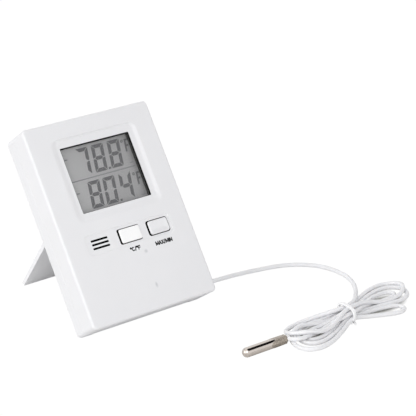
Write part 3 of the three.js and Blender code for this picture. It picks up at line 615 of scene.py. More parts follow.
# the tie: a soft plastic tie wound twice round the waist, its two ends twisted under the front of it
TIE_Y, TIE_Z, TIE_A, TIE_B = -67.75, 4.72, 6.32, 4.06
tie_path = []
turns = 2.0
steps = 120
for k in range(steps + 1):
    a = math.radians(-112) + 2 * math.pi * turns * k / steps
    ca, sa = math.cos(a), math.sin(a)
    e = 2.7
    y = TIE_Y + TIE_A * math.copysign(abs(ca) ** (2 / e), ca)
    z = TIE_Z + TIE_B * math.copysign(abs(sa) ** (2 / e), sa)
    x = 85.0 + 1.7 * k / steps
    tie_path.append((x, y, max(z, 0.66)))
start = [(84.2, TIE_Y - TIE_A - 0.3, 1.35), (85.7, TIE_Y - TIE_A + 0.9, 0.75)]
tie_path = tie_path[:-3] + [(86.8, TIE_Y - TIE_A + 2.4, 0.66), (86.7, TIE_Y - TIE_A + 0.9, 0.72), (86.1, TIE_Y - TIE_A - 0.5, 1.0), (85.3, TIE_Y - TIE_A - 1.5, 0.95)]
tie_pts, _ = catmull(start[:1] + tie_path, 0.28)
tie = tube_mesh("hank_tie_band", tie_pts, 0.62, TABLE, sides=12)
shade(tie, 50)
dress(tie, M["tie"], "case")
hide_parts("hank_tie")

# the probe: a drawn tube with a domed end, swaged over the cord's sleeve at the back
PROBE = TABLE @ Matrix.Translation((43.8 * MM, -68.4 * MM, 2.64 * MM)) @ Matrix.Rotation(math.pi - math.atan2(0.41, 24.73), 4, "Z") @ Matrix.Rotation(math.pi / 2, 4, "Y")
L, R = 27.2, 2.6
prof = [(0, 0.9), (1.4, 0.9), (1.8, 0.9), (2.05, 0.72), (2.12, 0.35), (2.2, 0.12), (2.3, 0.0), (2.42, 0.04), (2.5, 0.16)]
prof += [(2.52, 0.8), (2.5, 1.0), (2.44, 1.15), (2.44, 1.5), (2.5, 1.65), (2.52, 1.8)]
prof += [(2.52 + 0.08 * min(1, k / 12), 1.8 + 0.55 * k) for k in range(1, 20)]
prof += [(R, z) for z in (12.8, 14.0, 18.0, 22.0, 24.2)]
prof += [(R * math.cos(a), L - R + R * math.sin(a)) for a in [math.pi / 2 * k / 14 for k in range(0, 14)]]
prof.append((0, L))
probe = turned("probe_body", prof, PROBE, 72)
# the back end is crimped: six soft flats run out into the round tube
for v in probe.data.vertices:
    x, y, z = v.co[0] / MM, v.co[1] / MM, v.co[2] / MM
    r_ = math.hypot(x, y)
    if r_ < 2.3 or z > 11.0:
        continue
    k_ = min(1.0, max(0.0, (11.0 - z) / 3.6))
    k_ = k_ * k_ * (3 - 2 * k_)
    a_ = (math.atan2(y, x) + 0.35) % (math.pi / 3) - math.pi / 6
    hexa = math.cos(math.pi / 6) / math.cos(a_)
    wave = 0.012 * math.sin(z * 5.2) * (1.0 if 1.8 < z < 9.5 else 0.0)
    f_ = 1 + k_ * (0.95 * (hexa * 1.04 - 1) + wave)
    v.co[0], v.co[1] = v.co[0] * f_, v.co[1] * f_
shade(probe, 40)
dress(probe, M["steel"], "case")
probe.data.materials.append(M["crimp"])
for p in probe.data.polygons:
    turn_ = math.atan2(p.center.y, p.center.x)
    if p.center.z < (7.0 + 3.6 * abs(math.cos(1.5 * turn_ + 0.6))) * MM and math.hypot(p.center.x, p.center.y) > 2.2 * MM:
        p.material_index = 1
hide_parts("probe_tube")
seal = turned(
    "probe_sleeve",
    [(0, -2.52), (1.3, -2.5), (1.5, -2.3), (1.58, -1.4), (1.64, -0.3), (1.7, 0.4), (1.78, 0.9), (1.74, 1.2), (0, 1.2)],
    PROBE,
    40,
)
shade(seal, 45)
dress(seal, M["cord"], "case")
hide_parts("probe_seal")

# ------------------------------------------------------------------ front cover
W, H, D = 78.0, 110.0, 20.5
OUT = (-39.0, 39.0, 0.0, 110.0)
RC = 2.4
SEAM_F, SEAM_R = 8.05, 7.95
FACE_IN = 18.7
WIN = (-21.0, 21.8, 59.4, 95.7)
RECESS = (-26.2, 27.2, 54.3, 100.6)
WIN_W = 19.6
PANEL = (-26.2, 26.6, 36.9, 47.9)
PANEL_W = 20.1
UNIT = (-6.5, 7.2, 38.05, 46.4)
MAXMIN = (11.6, 25.1, 38.0, 46.3)
SLOTS = [(-23.0, -12.7, u - 0.54, u + 0.54) for u in (44.3, 42.2, 40.1)]


def front_cover():
    s = Skin()
    prof = [(0.08, SEAM_F), (0.0, SEAM_F + 0.08), (0.0, 14.0)] + arc(0.0, 19.1, 1.4, 1.4, 9, False)
    first, top = s.run(rings(OUT, RC, prof, 8))
    down = []
    # the shallow sloped recess round the display
    slope = [(-0.35 + 0.5 * 0.35 * 0, 20.5)]
    slope = []
    for k in range(11):
        t = k / 10
        e = t * t * (3 - 2 * t)
        slope.append((-0.15 + 1.45 * t, 20.5 - 0.9 * e))
    side_w = (4.3, 2.9, 4.2, 0.75)
    ring_list = []
    for t_, w_ in [(-0.06 + 1.06 * k / 10, z_) for k, (i_, z_) in enumerate(slope)]:
        rect_ = (RECESS[0] + side_w[0] * t_, RECESS[1] - side_w[1] * t_, RECESS[2] + side_w[2] * t_, RECESS[3] - side_w[3] * t_)
        ring_list.append(rr(rect_, 4.2 - 1.5 * t_, w_, 8))
    a, b = s.run(ring_list)
    w0, w1 = s.run(rings(WIN, 0.5, [(-0.12, WIN_W), (-0.04, WIN_W - 0.03), (0.0, WIN_W - 0.1), (0.0, FACE_IN)], 5))
    s.fill(b, [w0], (0, 0, 1))
    down.append(w1)
    # the button panel
    p0, p1 = s.run(rings(PANEL, 2.2, arc(-0.16, 20.5, 0.16, -0.14, 4, True) + [(0.02, 20.3)] + arc(0.03, 20.22, 0.16, -0.12, 4, False), 7))
    holes = []
    for rect in (UNIT, MAXMIN):
        h0, h1 = s.run(rings(rect, 1.4 if rect == MAXMIN else 0.9, arc(-0.16, PANEL_W, 0.16, -0.16, 4, True) + [(0.0, FACE_IN)], 7))
        holes.append(h0)
        down.append(h1)
    for rect in SLOTS:
        h0, h1 = s.run(rings(rect, 0.53, arc(-0.09, PANEL_W, 0.09, -0.09, 3, True) + [(0.0, FACE_IN)], 6))
        holes.append(h0)
        down.append(h1)
    s.fill(p1, holes, (0, 0, 1))
    s.fill(top, [a, p0], (0, 0, 1))
    # the inside, with four screw bosses
    for x in (-34.2, 34.2):
        for u in (15.0, 100.0):
            outer = [circle(x, u, r, w) for r, w in ((3.1, FACE_IN), (2.85, 18.4), (2.75, 8.6), (2.6, 8.45), (1.35, 8.45), (1.3, 8.6), (1.3, 17.4))]
            o0, o1 = s.run(outer)
            s.fill(o1, [], (0, 0, -1))
            down.append(o0)
    i0, i1 = s.run(rings(OUT, RC, [(1.9, FACE_IN), (1.68, 18.62), (1.6, 18.4), (1.6, 12.0), (1.6, SEAM_F)], 8))
    s.fill(i0, down, (0, 0, -1))
    s.band(i1, first)
    o = s.make("front_cover_shell", CASE)
    rod = turned("rod", [(0, -4), (1.36, -4), (1.36, 6), (0, 6)], CASE @ Matrix.Translation((37.5 * MM, 6.8 * MM, 8.0 * MM)) @ Matrix.Rotation(math.pi / 2, 4, "Y"), 32)
    boolean(o, [rod], "DIFFERENCE")
    return shade(o)


cover = front_cover()
dress(cover, M["face"], "case")
# painted shade: the walls of the vent slots and of the two button openings are given the matt black, standing in for
# the shade inside them
cover.data.materials.append(M["matt"])
for p in cover.data.polygons:
    c = p.center / MM
    if c.z < 20.03 and c.z > 18.72 and any(r[0] - 0.1 < c.x < r[1] + 0.1 and r[2] - 0.1 < c.y < r[3] + 0.1 for r in SLOTS):
        p.material_index = 1
    elif 18.72 < c.z < 20.0 and any(r[0] - 0.1 < c.x < r[1] + 0.1 and r[2] - 0.1 < c.y < r[3] + 0.1 for r in (UNIT, MAXMIN)):
        p.material_index = 1
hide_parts("front_cover")


# ------------------------------------------------------------------ rear cover
def rear_cover():
    s = Skin()
    # outside from the rear face up to the seam, then the tongue and the inside
    rear = arc(0.9, 0.0, -0.9, 0.9, 6, True)
    prof = [(0.9, 0.0)] + rear[1:] + [(0.0, 5.0), (0.0, SEAM_R - 0.08), (0.08, SEAM_R), (1.75, SEAM_R), (1.75, 8.95), (1.85, 9.05), (2.4, 9.05), (2.4, 4.9)]
    a, b = s.run(rings(OUT, RC, prof, 8))
    s.fill(a, [], (0, 0, -1))
    s.fill(b, [], (0, 0, 1))
    o = s.make("rear_cover_shell", CASE)
    adds = [box_obj("a", -27.0, 27.0, 91.6, 105.6, 3.0, 13.4, CASE, 1.0)]
    for x in (-34.2, 34.2):
        for u in (15.0, 100.0):
            adds.append(turned("b", [(0, 3.0), (2.7, 3.0), (2.7, 7.8), (2.5, 7.92), (0, 7.92)], CASE @ Matrix.Translation((x * MM, u * MM, 0)), 28))
    boolean(o, adds, "UNION")
    cuts = [
        box_obj("c", -31.1, 31.1, -4, 62.2, -2, 3.47, CASE, 0.6),
        turned("c", [(0, -32.1), (1.15, -32.1), (1.15, 32.1), (0, 32.1)], CASE @ Matrix.Translation((0, 60.15 * MM, 1.7 * MM)) @ Matrix.Rotation(math.pi / 2, 4, "Y"), 28),
        box_obj("c", -28.5, 28.5, 89.3, 115, -2, 1.6, CASE, 0.3),
        box_obj("c", -29.6, 29.6, 89.3, 115, 0.65, 1.6, CASE),
        box_obj("c", -25.8, 25.8, 92.8, 104.4, 0.5, 12.4, CASE, 0.8),
        turned("c", [(0, -4), (1.36, -4), (1.36, 6), (0, 6)], CASE @ Matrix.Translation((37.5 * MM, 6.8 * MM, 8.0 * MM)) @ Matrix.Rotation(math.pi / 2, 4, "Y"), 32),
        box_obj("c", -28.5, -25, 97.1, 98.9, 11.2, 15, CASE),
        box_obj("c", 25, 28.5, 97.1, 98.9, 11.2, 15, CASE),
    ]
    for x in (-34.2, 34.2):
        for u in (15.0, 100.0):
            cuts.append(
                turned("c", [(0, -2), (2.75, -2), (2.75, -0.05), (2.45, 0.22), (2.4, 0.3), (2.4, 2.25), (2.35, 2.3), (1.3, 2.3), (1.3, 12), (0, 12)], CASE @ Matrix.Translation((x * MM, u * MM, 0)), 32)
            )
    cuts.append(box_obj("c", -80, 80, -60, 60, -20, 0.0, TABLE))
    boolean(o, cuts, "DIFFERENCE")
    return shade(o)


# painted shade: a matt black grid behind the vent slots, and black liners that fill the slots up to just under the
# panel, stand in for the shade inside them
mesh_s = Skin()
for iu in range(9):
    for ix in range(17):
        x0, y0 = -23.9 + ix * 0.74, 39.0 + iu * 0.74
        zc = 18.44 + 0.08 * ((ix + iu) % 2)
        a_, b_ = mesh_s.run([rr((x0, x0 + 0.76, y0, y0 + 0.76), 0.02, w_, 1) for w_ in (zc - 0.12, zc + 0.1)])
        mesh_s.fill(a_, [], (0, 0, -1))
        mesh_s.fill(b_, [], (0, 0, 1))
for x0, x1, y0, y1 in SLOTS:
    a_, b_ = mesh_s.run([rr((x0 + 0.04, x1 - 0.04, y0 + 0.04, y1 - 0.04), 0.45, w_, 5) for w_ in (18.2, 19.80)])
    mesh_s.fill(a_, [], (0, 0, -1))
    mesh_s.fill(b_, [], (0, 0, 1))
slot_shade_liner = mesh_s.make("slot_painted_shade_liner", CASE)
shade(slot_shade_liner)
dress(slot_shade_liner, M["matt"], "case")

rear = rear_cover()
dress(rear, M["case"], "case")
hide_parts("rear_cover")


# ------------------------------------------------------------------ battery door
def battery_door():
    s = Skin()
    half, u0, u1 = 28.3, 89.5, 109.85
    prof = [(0.28, 0.0), (0.08, 0.08), (0.0, 0.28), (0.0, 0.8)]
    a, b = s.run(rings((-half, half, u0, u1), 0.7, prof, 5))
    c, d = s.run([rr((-half - 1.0, half + 1.0, u0, u1), 0.7, w, 5) for w in (0.8, 1.4)])
    grooves = []
    for u in (103.4, 105.2, 107.0):
        g = rings((-7, 7, u - 0.45, u + 0.45), 0.44, [(-0.1, 0.0), (-0.03, 0.03), (0.0, 0.1), (0.1, 0.35), (0.25, 0.45)], 5)
        # these rings are cut from below, so each runs the other way
        g0, g1 = s.run([list(reversed(r)) for r in g])
        s.fill(g1, [], (0, 0, -1))
        grooves.append(g0)
    s.fill(a, grooves, (0, 0, -1))
    s.band(b, c)
    s.fill(d, [], (0, 0, 1))
    o = s.make("battery_door_panel", CASE)
    return shade(o)


door = battery_door()
dress(door, M["case"], "door")
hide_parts("battery_door")


# ------------------------------------------------------------------ stand leg
def stand_leg():
    Lg, half, ax = 59.93, 30.5, 1.7
    t0, t1 = 3.0, 2.0
    # outline seen from behind: up one side and down the other, with the notch at the tip
    pts = []
    rc = 0.7
    notch_r, notch_c = 9.0, -Lg - 6.6
    half_notch = math.sqrt(notch_r**2 - 6.6**2)
    pts.append((-half_notch, -Lg))
    for k in range(13):
        a = math.radians(270 - 90 * k / 12)
        pts.append((-half + rc + rc * math.cos(a), -Lg + rc + rc * math.sin(a)))
    pts.append((-half, -0.6))
    pts.append((half, -0.6))
    for k in range(13):
        a = math.radians(0 - 90 * k / 12)
        pts.append((half - rc + rc * math.cos(a), -Lg + rc + rc * math.sin(a)))
    pts.append((half_notch, -Lg))
    a0 = math.atan2(6.6, half_notch)
    for k in range(1, 24):
        a = a0 + (math.pi - 2 * a0) * k / 24
        pts.append((notch_r * math.cos(a), notch_c + notch_r * math.sin(a)))
    s = Skin()
    a = s.ring([(x, y, -ax) for x, y in pts])
    b = s.ring([(x, y, -ax + t0 + (t1 - t0) * (-y / Lg)) for x, y in pts])
    # the outline runs clockwise seen from the front
    n = len(pts)
    for i in range(n):
        j = (i + 1) % n
        s.f.append((a[j], a[i], b[i], b[j]))
    s.fill(a, [], (0, 0, -1))
    s.fill(b, [], (0, 0, 1))
    o = s.make("stand_leg_panel", LEG)
    bm = bmesh.new()
    bm.from_mesh(o.data)
    bmesh.ops.recalc_face_normals(bm, faces=bm.faces)
    bm.to_mesh(o.data)
    bm.free()
    bevel(o, 0.45, 3, 55)
    # the rounded hinge end and its two pins
    hinge = Skin()
    prof = [(-ax, -1.2)]
    for k in range(15):
        an = math.pi - math.pi * k / 14
        prof.append((ax * math.cos(an), ax * math.sin(an)))
    prof.append((1.25, -1.2))
    x0 = hinge.ring([(-half, y, w) for w, y in prof])
    x1 = hinge.ring([(half, y, w) for w, y in prof])
    m = len(prof)
    for i in range(m):
        j = (i + 1) % m
        hinge.f.append((x0[i], x0[j], x1[j], x1[i]))
    hinge.fill(x0, [], (-1, 0, 0))
    hinge.fill(x1, [], (1, 0, 0))
    h = hinge.make("h", LEG)
    bm = bmesh.new()
    bm.from_mesh(h.data)
    bmesh.ops.recalc_face_normals(bm, faces=bm.faces)
    bm.to_mesh(h.data)
    bm.free()
    pins = turned("p", [(0, -half - 1.4), (0.8, -half - 1.4), (1.0, -half - 1.2), (1.0, half + 1.2), (0.8, half + 1.4), (0, half + 1.4)], LEG @ Matrix.Rotation(math.pi / 2, 4, "Y"), 24)
    boolean(o, [h, pins], "UNION")
    return shade(o)


leg = stand_leg()
dress(leg, M["leg"], "leg")
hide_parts("stand_leg")


# ------------------------------------------------------------------ buttons
def button(name, rect, mat, dish):
    r = (rect[0] + 1.0, rect[1] - (0.35 if dish else 0.2), rect[2] + 0.42, rect[3] - 0.4)
    top = 20.85
    s = Skin()
    x, u = (rect[0] + rect[1]) / 2, (rect[2] + rect[3]) / 2
    flange = inset(rect, -0.8)
    a, b = s.run(rings(flange, 1.4, [(0.12, 17.5), (0.0, 17.6), (0.0, 18.28), (0.12, 18.4)], 5))
    edge = 0.5 if not dish else 0.7
    prof = [(-0.15, 18.4), (-0.03, 18.46), (0.0, 18.6), (0.0, 20.08)] + arc(0.0, top - edge, edge, edge, 7, False)
    c, d = s.run(rings(r, 1.3 if dish else 0.8, prof, 6))
    s.fill(b, [c], (0, 0, 1))
    # a slightly dished or crowned top
    hx, hu = (r[1] - r[0]) / 2 - edge, (r[3] - r[2]) / 2 - edge
    last = d
    for k in range(1, 7):
        t = k / 7
        h = top + (-0.22 if dish else 0.05) * (1 - (1 - t) ** 2)
        ri = inset(r, edge + min(hx, hu) * t)
        cur = s.ring(rr(ri, max(0.4, 0.5 * (1 - t)), h, 6))
        s.band(last, cur)
        last = cur
    s.fill(last, [], (0, 0, 1))
    # the post under the cap
    p0, p1 = s.run([circle(x, u, rr_, w_) for rr_, w_ in ((1.5, 17.5), (1.5, 16.05), (1.4, 15.95))])
    s.fill(p1, [], (0, 0, -1))
    s.fill(a, [p0], (0, 0, -1))
    o = s.make(name, CASE)
    bm = bmesh.new()
    bm.from_mesh(o.data)
    bmesh.ops.recalc_face_normals(bm, faces=bm.faces)
    bm.to_mesh(o.data)
    bm.free()
    return shade(o, 32)


def paint_skirt_shade(o):
    """The cap's faces below the panel are given the matt black as painted shade, standing in for the shade in the gap
    round the cap.
    """
    o.data.materials.append(M["matt"])
    for p in o.data.polygons:
        if p.center.z < 20.12 * MM:
            p.material_index = 1


unit = button("unit_button_cap", UNIT, M["key"], False)
dress(unit, M["key"], "unit_key")
paint_skirt_shade(unit)
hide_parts("unit_button")
maxmin = button("max_min_button_cap", MAXMIN, M["key_grey"], True)
dress(maxmin, M["key_grey"], "max_min_key")
paint_skirt_shade(maxmin)
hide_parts("max_min_button")


# ------------------------------------------------------------------ display: black frame, clear pane, glass and segments
def lcd_surround():
    s = Skin()
    outer = (-25.6, 26.4, 55.2, 99.9)
    lcd = (-23.5, 24.3, 57.0, 98.1)
    o0, o1 = s.run([rr(outer, 1.0, w, 5) for w in (13.95, 17.45)])
    # over the top to the collar that lines the opening up to just under the lip
    c0, c1 = s.run(
        [rr(inset(WIN, i), 0.4, w, 5) for i, w in ((-1.95, 17.45), (-1.95, 18.62), (-1.5, 18.66), (0.03, 18.66), (0.03, 19.46), (0.06, 19.5), (0.12, 19.46), (0.2, 19.2), (0.2, 16.35))]
    )
    l0, l1 = s.run([rr(lcd, 0.3, w, 5) for w in (16.35, 13.95)])
    s.fill(o1, [c0], (0, 0, 1))
    s.fill(l0, [c1], (0, 0, -1))
    s.fill(o0, [l1], (0, 0, -1))
    o = s.make("lcd_surround", CASE)
    bm = bmesh.new()
    bm.from_mesh(o.data)
    bmesh.ops.recalc_face_normals(bm, faces=bm.faces)
    bm.to_mesh(o.data)
    bm.free()
    return shade(o)


surround = lcd_surround()
dress(surround, M["matt"], "case")
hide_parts("lcd_frame")


def plate(name, rect, r, w0, w1, edge, n=5):
    s = Skin()
    prof = [(edge, w0), (edge * 0.3, w0 + edge * 0.3), (0.0, w0 + edge), (0.0, w1 - edge), (edge * 0.3, w1 - edge * 0.3), (edge, w1)]
    a, b = s.run(rings(rect, r, prof, n))
    s.fill(a, [], (0, 0, -1))
    s.fill(b, [], (0, 0, 1))
    return shade(s.make(name, CASE))


glass = plate("lcd_rear_glass", (-23.3, 24.1, 57.2, 97.9), 0.2, 14.0, 15.0, 0.08)
dress(glass, M["lcd_edge"], "case")
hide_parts("lcd_panel")
glass2 = plate("lcd_front_glass", (-23.3, 24.1, 60.2, 97.9), 0.2, 15.0, 16.0, 0.08)
dress(glass2, M["lcd_edge"], "case")
film = plate("lcd_polariser", (-23.0, 23.8, 58.4, 97.6), 0.3, 16.0, 16.2, 0.05)
dress(film, M["lcd"], "case")

# painted shade: the display's colour is darkened towards its right, most of all next to the right wall of the opening,
# standing in for the shade there
nt = M["lcd"].node_tree
lb = [n for n in nt.nodes if n.type == "BSDF_PRINCIPLED"][0]
lt = node(nt, "ShaderNodeTexCoord", -900, 900)
lx = node(nt, "ShaderNodeSeparateXYZ", -700, 900)
nt.links.new(lt.outputs["Object"], lx.inputs["Vector"])
lr = node(nt, "ShaderNodeMapRange", -500, 900)
lr.inputs["From Min"].default_value = -22 * MM
lr.inputs["From Max"].default_value = 22 * MM
nt.links.new(lx.outputs["X"], lr.inputs["Value"])
lcd_painted_shade_ramp = node(nt, "ShaderNodeValToRGB", -350, 900)
lcd_painted_shade_ramp.color_ramp.elements[0].position = 0.15
lcd_painted_shade_ramp.color_ramp.elements[0].color = (1, 1, 1, 1)
lcd_painted_shade_ramp.color_ramp.elements[1].position = 0.60
lcd_painted_shade_ramp.color_ramp.elements[1].color = (0.83, 0.83, 0.83, 1)
for pos, val in ((0.90, 0.81), (0.985, 0.62)):
    el = lcd_painted_shade_ramp.color_ramp.elements.new(pos)
    el.color = (val, val, val, 1)
nt.links.new(lr.outputs["Result"], lcd_painted_shade_ramp.inputs["Fac"])
lcd_painted_shade_mix = node(nt, "ShaderNodeMix", -100, 900)
lcd_painted_shade_mix.data_type = "RGBA"
lcd_painted_shade_mix.blend_type = "MULTIPLY"
lcd_painted_shade_mix.inputs["Factor"].default_value = 1.0
nt.links.new(lb.inputs["Base Color"].links[0].from_socket, lcd_painted_shade_mix.inputs[6])
nt.links.new(lcd_painted_shade_ramp.outputs["Color"], lcd_painted_shade_mix.inputs[7])
nt.links.new(lcd_painted_shade_mix.outputs[2], lb.inputs["Base Color"])

pane_mat = bpy.data.materials.new("clear_pane")
pane_mat.use_nodes = True
nt = pane_mat.node_tree
pb = nt.nodes["Principled BSDF"]
pb.inputs["Base Color"].default_value = (1, 1, 1, 1)
pb.inputs["Transmission Weight"].default_value = 0.0
pb.inputs["Alpha"].default_value = 0.03
pb.inputs["IOR"].default_value = 1.49
tc = node(nt, "ShaderNodeTexCoord", -900, 0)
nz = node(nt, "ShaderNodeTexNoise", -700, 0, Scale=120.0, Detail=3.0)
nt.links.new(tc.outputs["Object"], nz.inputs["Vector"])
mr = node(nt, "ShaderNodeMapRange", -450, 0)
mr.inputs["To Min"].default_value = 0.04
mr.inputs["To Max"].default_value = 0.12
nt.links.new(nz.outputs["Fac"], mr.inputs["Value"])
nt.links.new(mr.outputs["Result"], pb.inputs["Roughness"])
bp = node(nt, "ShaderNodeBump", -250, -200, Strength=0.02, Distance=0.0001)
nt.links.new(nz.outputs["Fac"], bp.inputs["Height"])
nt.links.new(bp.outputs["Normal"], pb.inputs["Normal"])
pane = plate("clear_display_pane", inset(WIN, 0.22), 0.4, 17.6, 18.6, 0.12)
dress(pane, pane_mat, "case")
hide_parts("display_window")

# seven-segment figures, a little slanted
SEG_W = 16.222
seg = Skin()
seg_off = Skin()


def poly(skin, pts, w=SEG_W, thick=0.03):
    """A thin flat polygon on the face, with its own edge."""
    area = sum(pts[i][0] * pts[(i + 1) % len(pts)][1] - pts[(i + 1) % len(pts)][0] * pts[i][1] for i in range(len(pts)))
    if area < 0:
        pts = list(reversed(pts))
    a = skin.ring([(x, y, w - thick) for x, y in pts])
    b = skin.ring([(x, y, w) for x, y in pts])
    skin.band(a, b)
    skin.fill(a, [], (0, 0, -1))
    skin.fill(b, [], (0, 0, 1))


SLANT = 0.165


def figure(skin, on, x, u, w, h, t, w_layer=SEG_W):
    """Draws the lit segments of one figure; x is the left of its foot."""
    g = 0.22
    m = h / 2

    def q(px, py):
        return (x + px + SLANT * py, u + py)

    S = {
        "a": [(g, h), (w - g, h), (w - t - g * 0.6, h - t), (t + g * 0.6, h - t)],
        "d": [(g, 0), (w - g, 0), (w - t - g * 0.6, t), (t + g * 0.6, t)],
        "g": [(t * 0.5 + g, m), (t + g, m + t / 2), (w - t - g, m + t / 2), (w - t * 0.5 - g, m), (w - t - g, m - t / 2), (t + g, m - t / 2)],
        "f": [(0, h - g), (t, h - t - g), (t, m + t / 2 + g * 0.7), (t * 0.5, m + g), (0, m + g * 1.6)],
        "b": [(w, h - g), (w - t, h - t - g), (w - t, m + t / 2 + g * 0.7), (w - t * 0.5, m + g), (w, m + g * 1.6)],
        "e": [(0, g), (t, t + g), (t, m - t / 2 - g * 0.7), (t * 0.5, m - g), (0, m - g * 1.6)],
        "c": [(w, g), (w - t, t + g), (w - t, m - t / 2 - g * 0.7), (w - t * 0.5, m - g), (w, m - g * 1.6)],
    }
    for k in on:
        poly(skin, [q(px, py) for px, py in S[k]], w_layer)


def bar(skin, x0, u0, x1, u1, t, w_layer=SEG_W):
    d = Vector((x1 - x0, u1 - u0))
    n = Vector((-d.y, d.x)).normalized() * (t / 2)
    poly(skin, [(x0 - n.x, u0 - n.y), (x1 - n.x, u1 - n.y), (x1 + n.x, u1 + n.y), (x0 + n.x, u0 + n.y)], w_layer)


ALL = "abcdefg"
H1, T1, FW = 14.9, 2.0, 7.4
figure(seg, "abc", -13.1, 79.2, FW, H1, T1)
figure(seg, ALL, -3.4, 79.2, FW, H1, T1)
figure(seg, ALL, 6.6, 79.2, FW + 0.2, H1, T1)
figure(seg, ALL, -12.9, 61.0, FW, 14.6, T1)
figure(seg, "abcdef", -3.7, 61.0, FW, 14.6, T1)
figure(seg, "fgbc", 6.4, 61.0, FW, 14.6, T1)
poly(seg, [(4.75, 79.2), (6.05, 79.2), (6.25, 80.4), (4.95, 80.4)])
poly(seg, [(4.6, 61.0), (5.9, 61.0), (6.1, 62.2), (4.8, 62.2)])


def unit_mark(skin, x, u):
    """A small degree ring and an F in the slant of the figures."""
    def q(px, py):
        return (x + px + SLANT * py, u + py)

    n = 16
    loops = []
    for r1, r2 in ((0.78, 0.86), (0.28, 0.34)):
        loops.append([q(0.45 + r1 * math.cos(2 * math.pi * k / n), 6.15 + r2 * math.sin(2 * math.pi * k / n)) for k in range(n)])
    lo, hi = SEG_W - 0.03, SEG_W
    o0, o1 = skin.run([[(x_, y_, lo) for x_, y_ in loops[0]], [(x_, y_, hi) for x_, y_ in loops[0]]])
    i1, i0 = skin.run([[(x_, y_, hi) for x_, y_ in loops[1]], [(x_, y_, lo) for x_, y_ in loops[1]]])
    skin.band(o1, i1)
    skin.band(i0, o0)
    poly(skin, [q(*p) for p in [(1.95, 0), (2.95, 0), (2.95, 2.9), (4.2, 2.9), (4.2, 3.9), (2.95, 3.9), (2.95, 6.0), (4.6, 6.0), (4.6, 7.0), (1.95, 7.0)]])


unit_mark(seg, 16.4, 86.0)
unit_mark(seg, 16.4, 67.2)
segments = seg.make("lcd_segments", CASE)
shade(segments)
dress(segments, M["seg"], "case")
bar(seg_off, -20.9, 77.45, 20.9, 77.45, 0.6)
bar(seg_off, 18.2, 79.7, 20.4, 79.7, 0.55)
bar(seg_off, 18.2, 61.4, 20.4, 61.4, 0.55)
bar(seg_off, -19.0, 89.8, -17.0, 89.8, 0.7)
bar(seg_off, -19.0, 70.8, -17.0, 70.8, 0.7)
for x, u in ((-19.4, 86.8), (-19.4, 67.6)):
    figure(seg_off, "", x, u, 3.0, 6.0, 0.7)
faint = seg_off.make("lcd_idle_segments", CASE)
shade(faint)
dress(faint, M["seg_off"], "case")

# ------------------------------------------------------------------ printed legends, in plain stroke letters
ink = Skin()
INK_W = 20.503


def stroke(pts, t):
    for (xa, ya), (xb, yb) in zip(pts[:-1], pts[1:]):
        d = Vector((xb - xa, yb - ya))
        if d.length < 1e-6:
            continue
        e = d.normalized() * (t * 0.38)
        n = Vector((-d.y, d.x)).normalized() * (t / 2)
        poly(
            ink,
            [(xa - e.x - n.x, ya - e.y - n.y), (xb + e.x - n.x, yb + e.y - n.y), (xb + e.x + n.x, yb + e.y + n.y), (xa - e.x + n.x, ya - e.y + n.y)],
            INK_W,
            0.02,
        )


LETTERS = {
    "M": (1.55, [[(0, 0), (0, 1), (0.5, 0.15), (1, 1), (1, 0)]]),
    "A": (1.3, [[(0, 0), (0.5, 1), (1, 0)], [(0.2, 0.32), (0.8, 0.32)]]),
    "X": (1.2, [[(0, 0), (1, 1)], [(0, 1), (1, 0)]]),
    "I": (0.25, [[(0.5, 0), (0.5, 1)]]),
    "N": (1.15, [[(0, 0), (0, 1), (1, 0), (1, 1)]]),
    "/": (0.6, [[(0, -0.05), (1, 1.05)]]),
    "F": (1.15, [[(0, 0), (0, 1), (1, 1)], [(0, 0.5), (0.85, 0.5)]]),
    "C": (1.35, [[(0.5 + 0.5 * math.cos(math.radians(a)), 0.5 + 0.5 * math.sin(math.radians(a))) for a in range(48, 315, 22)]]),
    "o": (0.55, [[(0.5 + 0.5 * math.cos(math.radians(a)), 0.86 + 0.16 * math.sin(math.radians(a))) for a in range(0, 361, 30)]]),
}


def legend(text, cx, cu, height, t, spacing):
    width = sum(LETTERS[c][0] for c in text) + spacing * (len(text) - 1)
    x = cx - width / 2
    for c in text:
        w, lines = LETTERS[c]
        for line in lines:
            stroke([(x + w * px, cu - height / 2 + height * py) for px, py in line], t)
        x += w + spacing


legend("oC/oF", 0.5, 34.2, 1.8, 0.54, 0.46)
legend("MAX/MIN", 18.3, 33.4, 1.8, 0.58, 0.42)
legends = ink.make("button_legends", CASE)
shade(legends)
dress(legends, M["ink"], "case")


# ------------------------------------------------------------------ screws in the back
def screw(name, x, u, z, r, h):
    """A pan head with a cross recess."""
    mtx = CASE @ Matrix.Translation((x * MM, u * MM, z * MM)) @ Matrix.Rotation(math.pi, 4, "X")
    prof = [(0, -9.0), (0.3, -8.6), (1.02, -7.6)]
    for k in range(8):
        hgt = -7.2 + 0.9 * k
        prof += [(1.02, hgt), (0.8, hgt + 0.25), (0.8, hgt + 0.6)]
    prof += [(1.02, -0.2), (r, 0.0), (r, h * 0.35), (r * 0.93, h * 0.68), (r * 0.72, h * 0.92), (r * 0.4, h), (0, h)]
    o = turned(name, prof, mtx, 32)
    c1 = box_obj("c", -0.27, 0.27, -r * 0.62, r * 0.62, h * 0.35, h + 1, mtx)
    c2 = box_obj("c", -r * 0.62, r * 0.62, -0.27, 0.27, h * 0.35, h + 1, mtx)
    boolean(o, [c1, c2], "DIFFERENCE")
    return shade(o, 40)


k = 0
for u in (15.0, 100.0):
    for x in (-34.2, 34.2):
        k += 1
        sc = screw("case_screw_%d_head" % k, x, u, 2.15, 2.1, 1.3)
        dress(sc, M["zinc"], "case")
        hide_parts("case_screw_%d" % k)

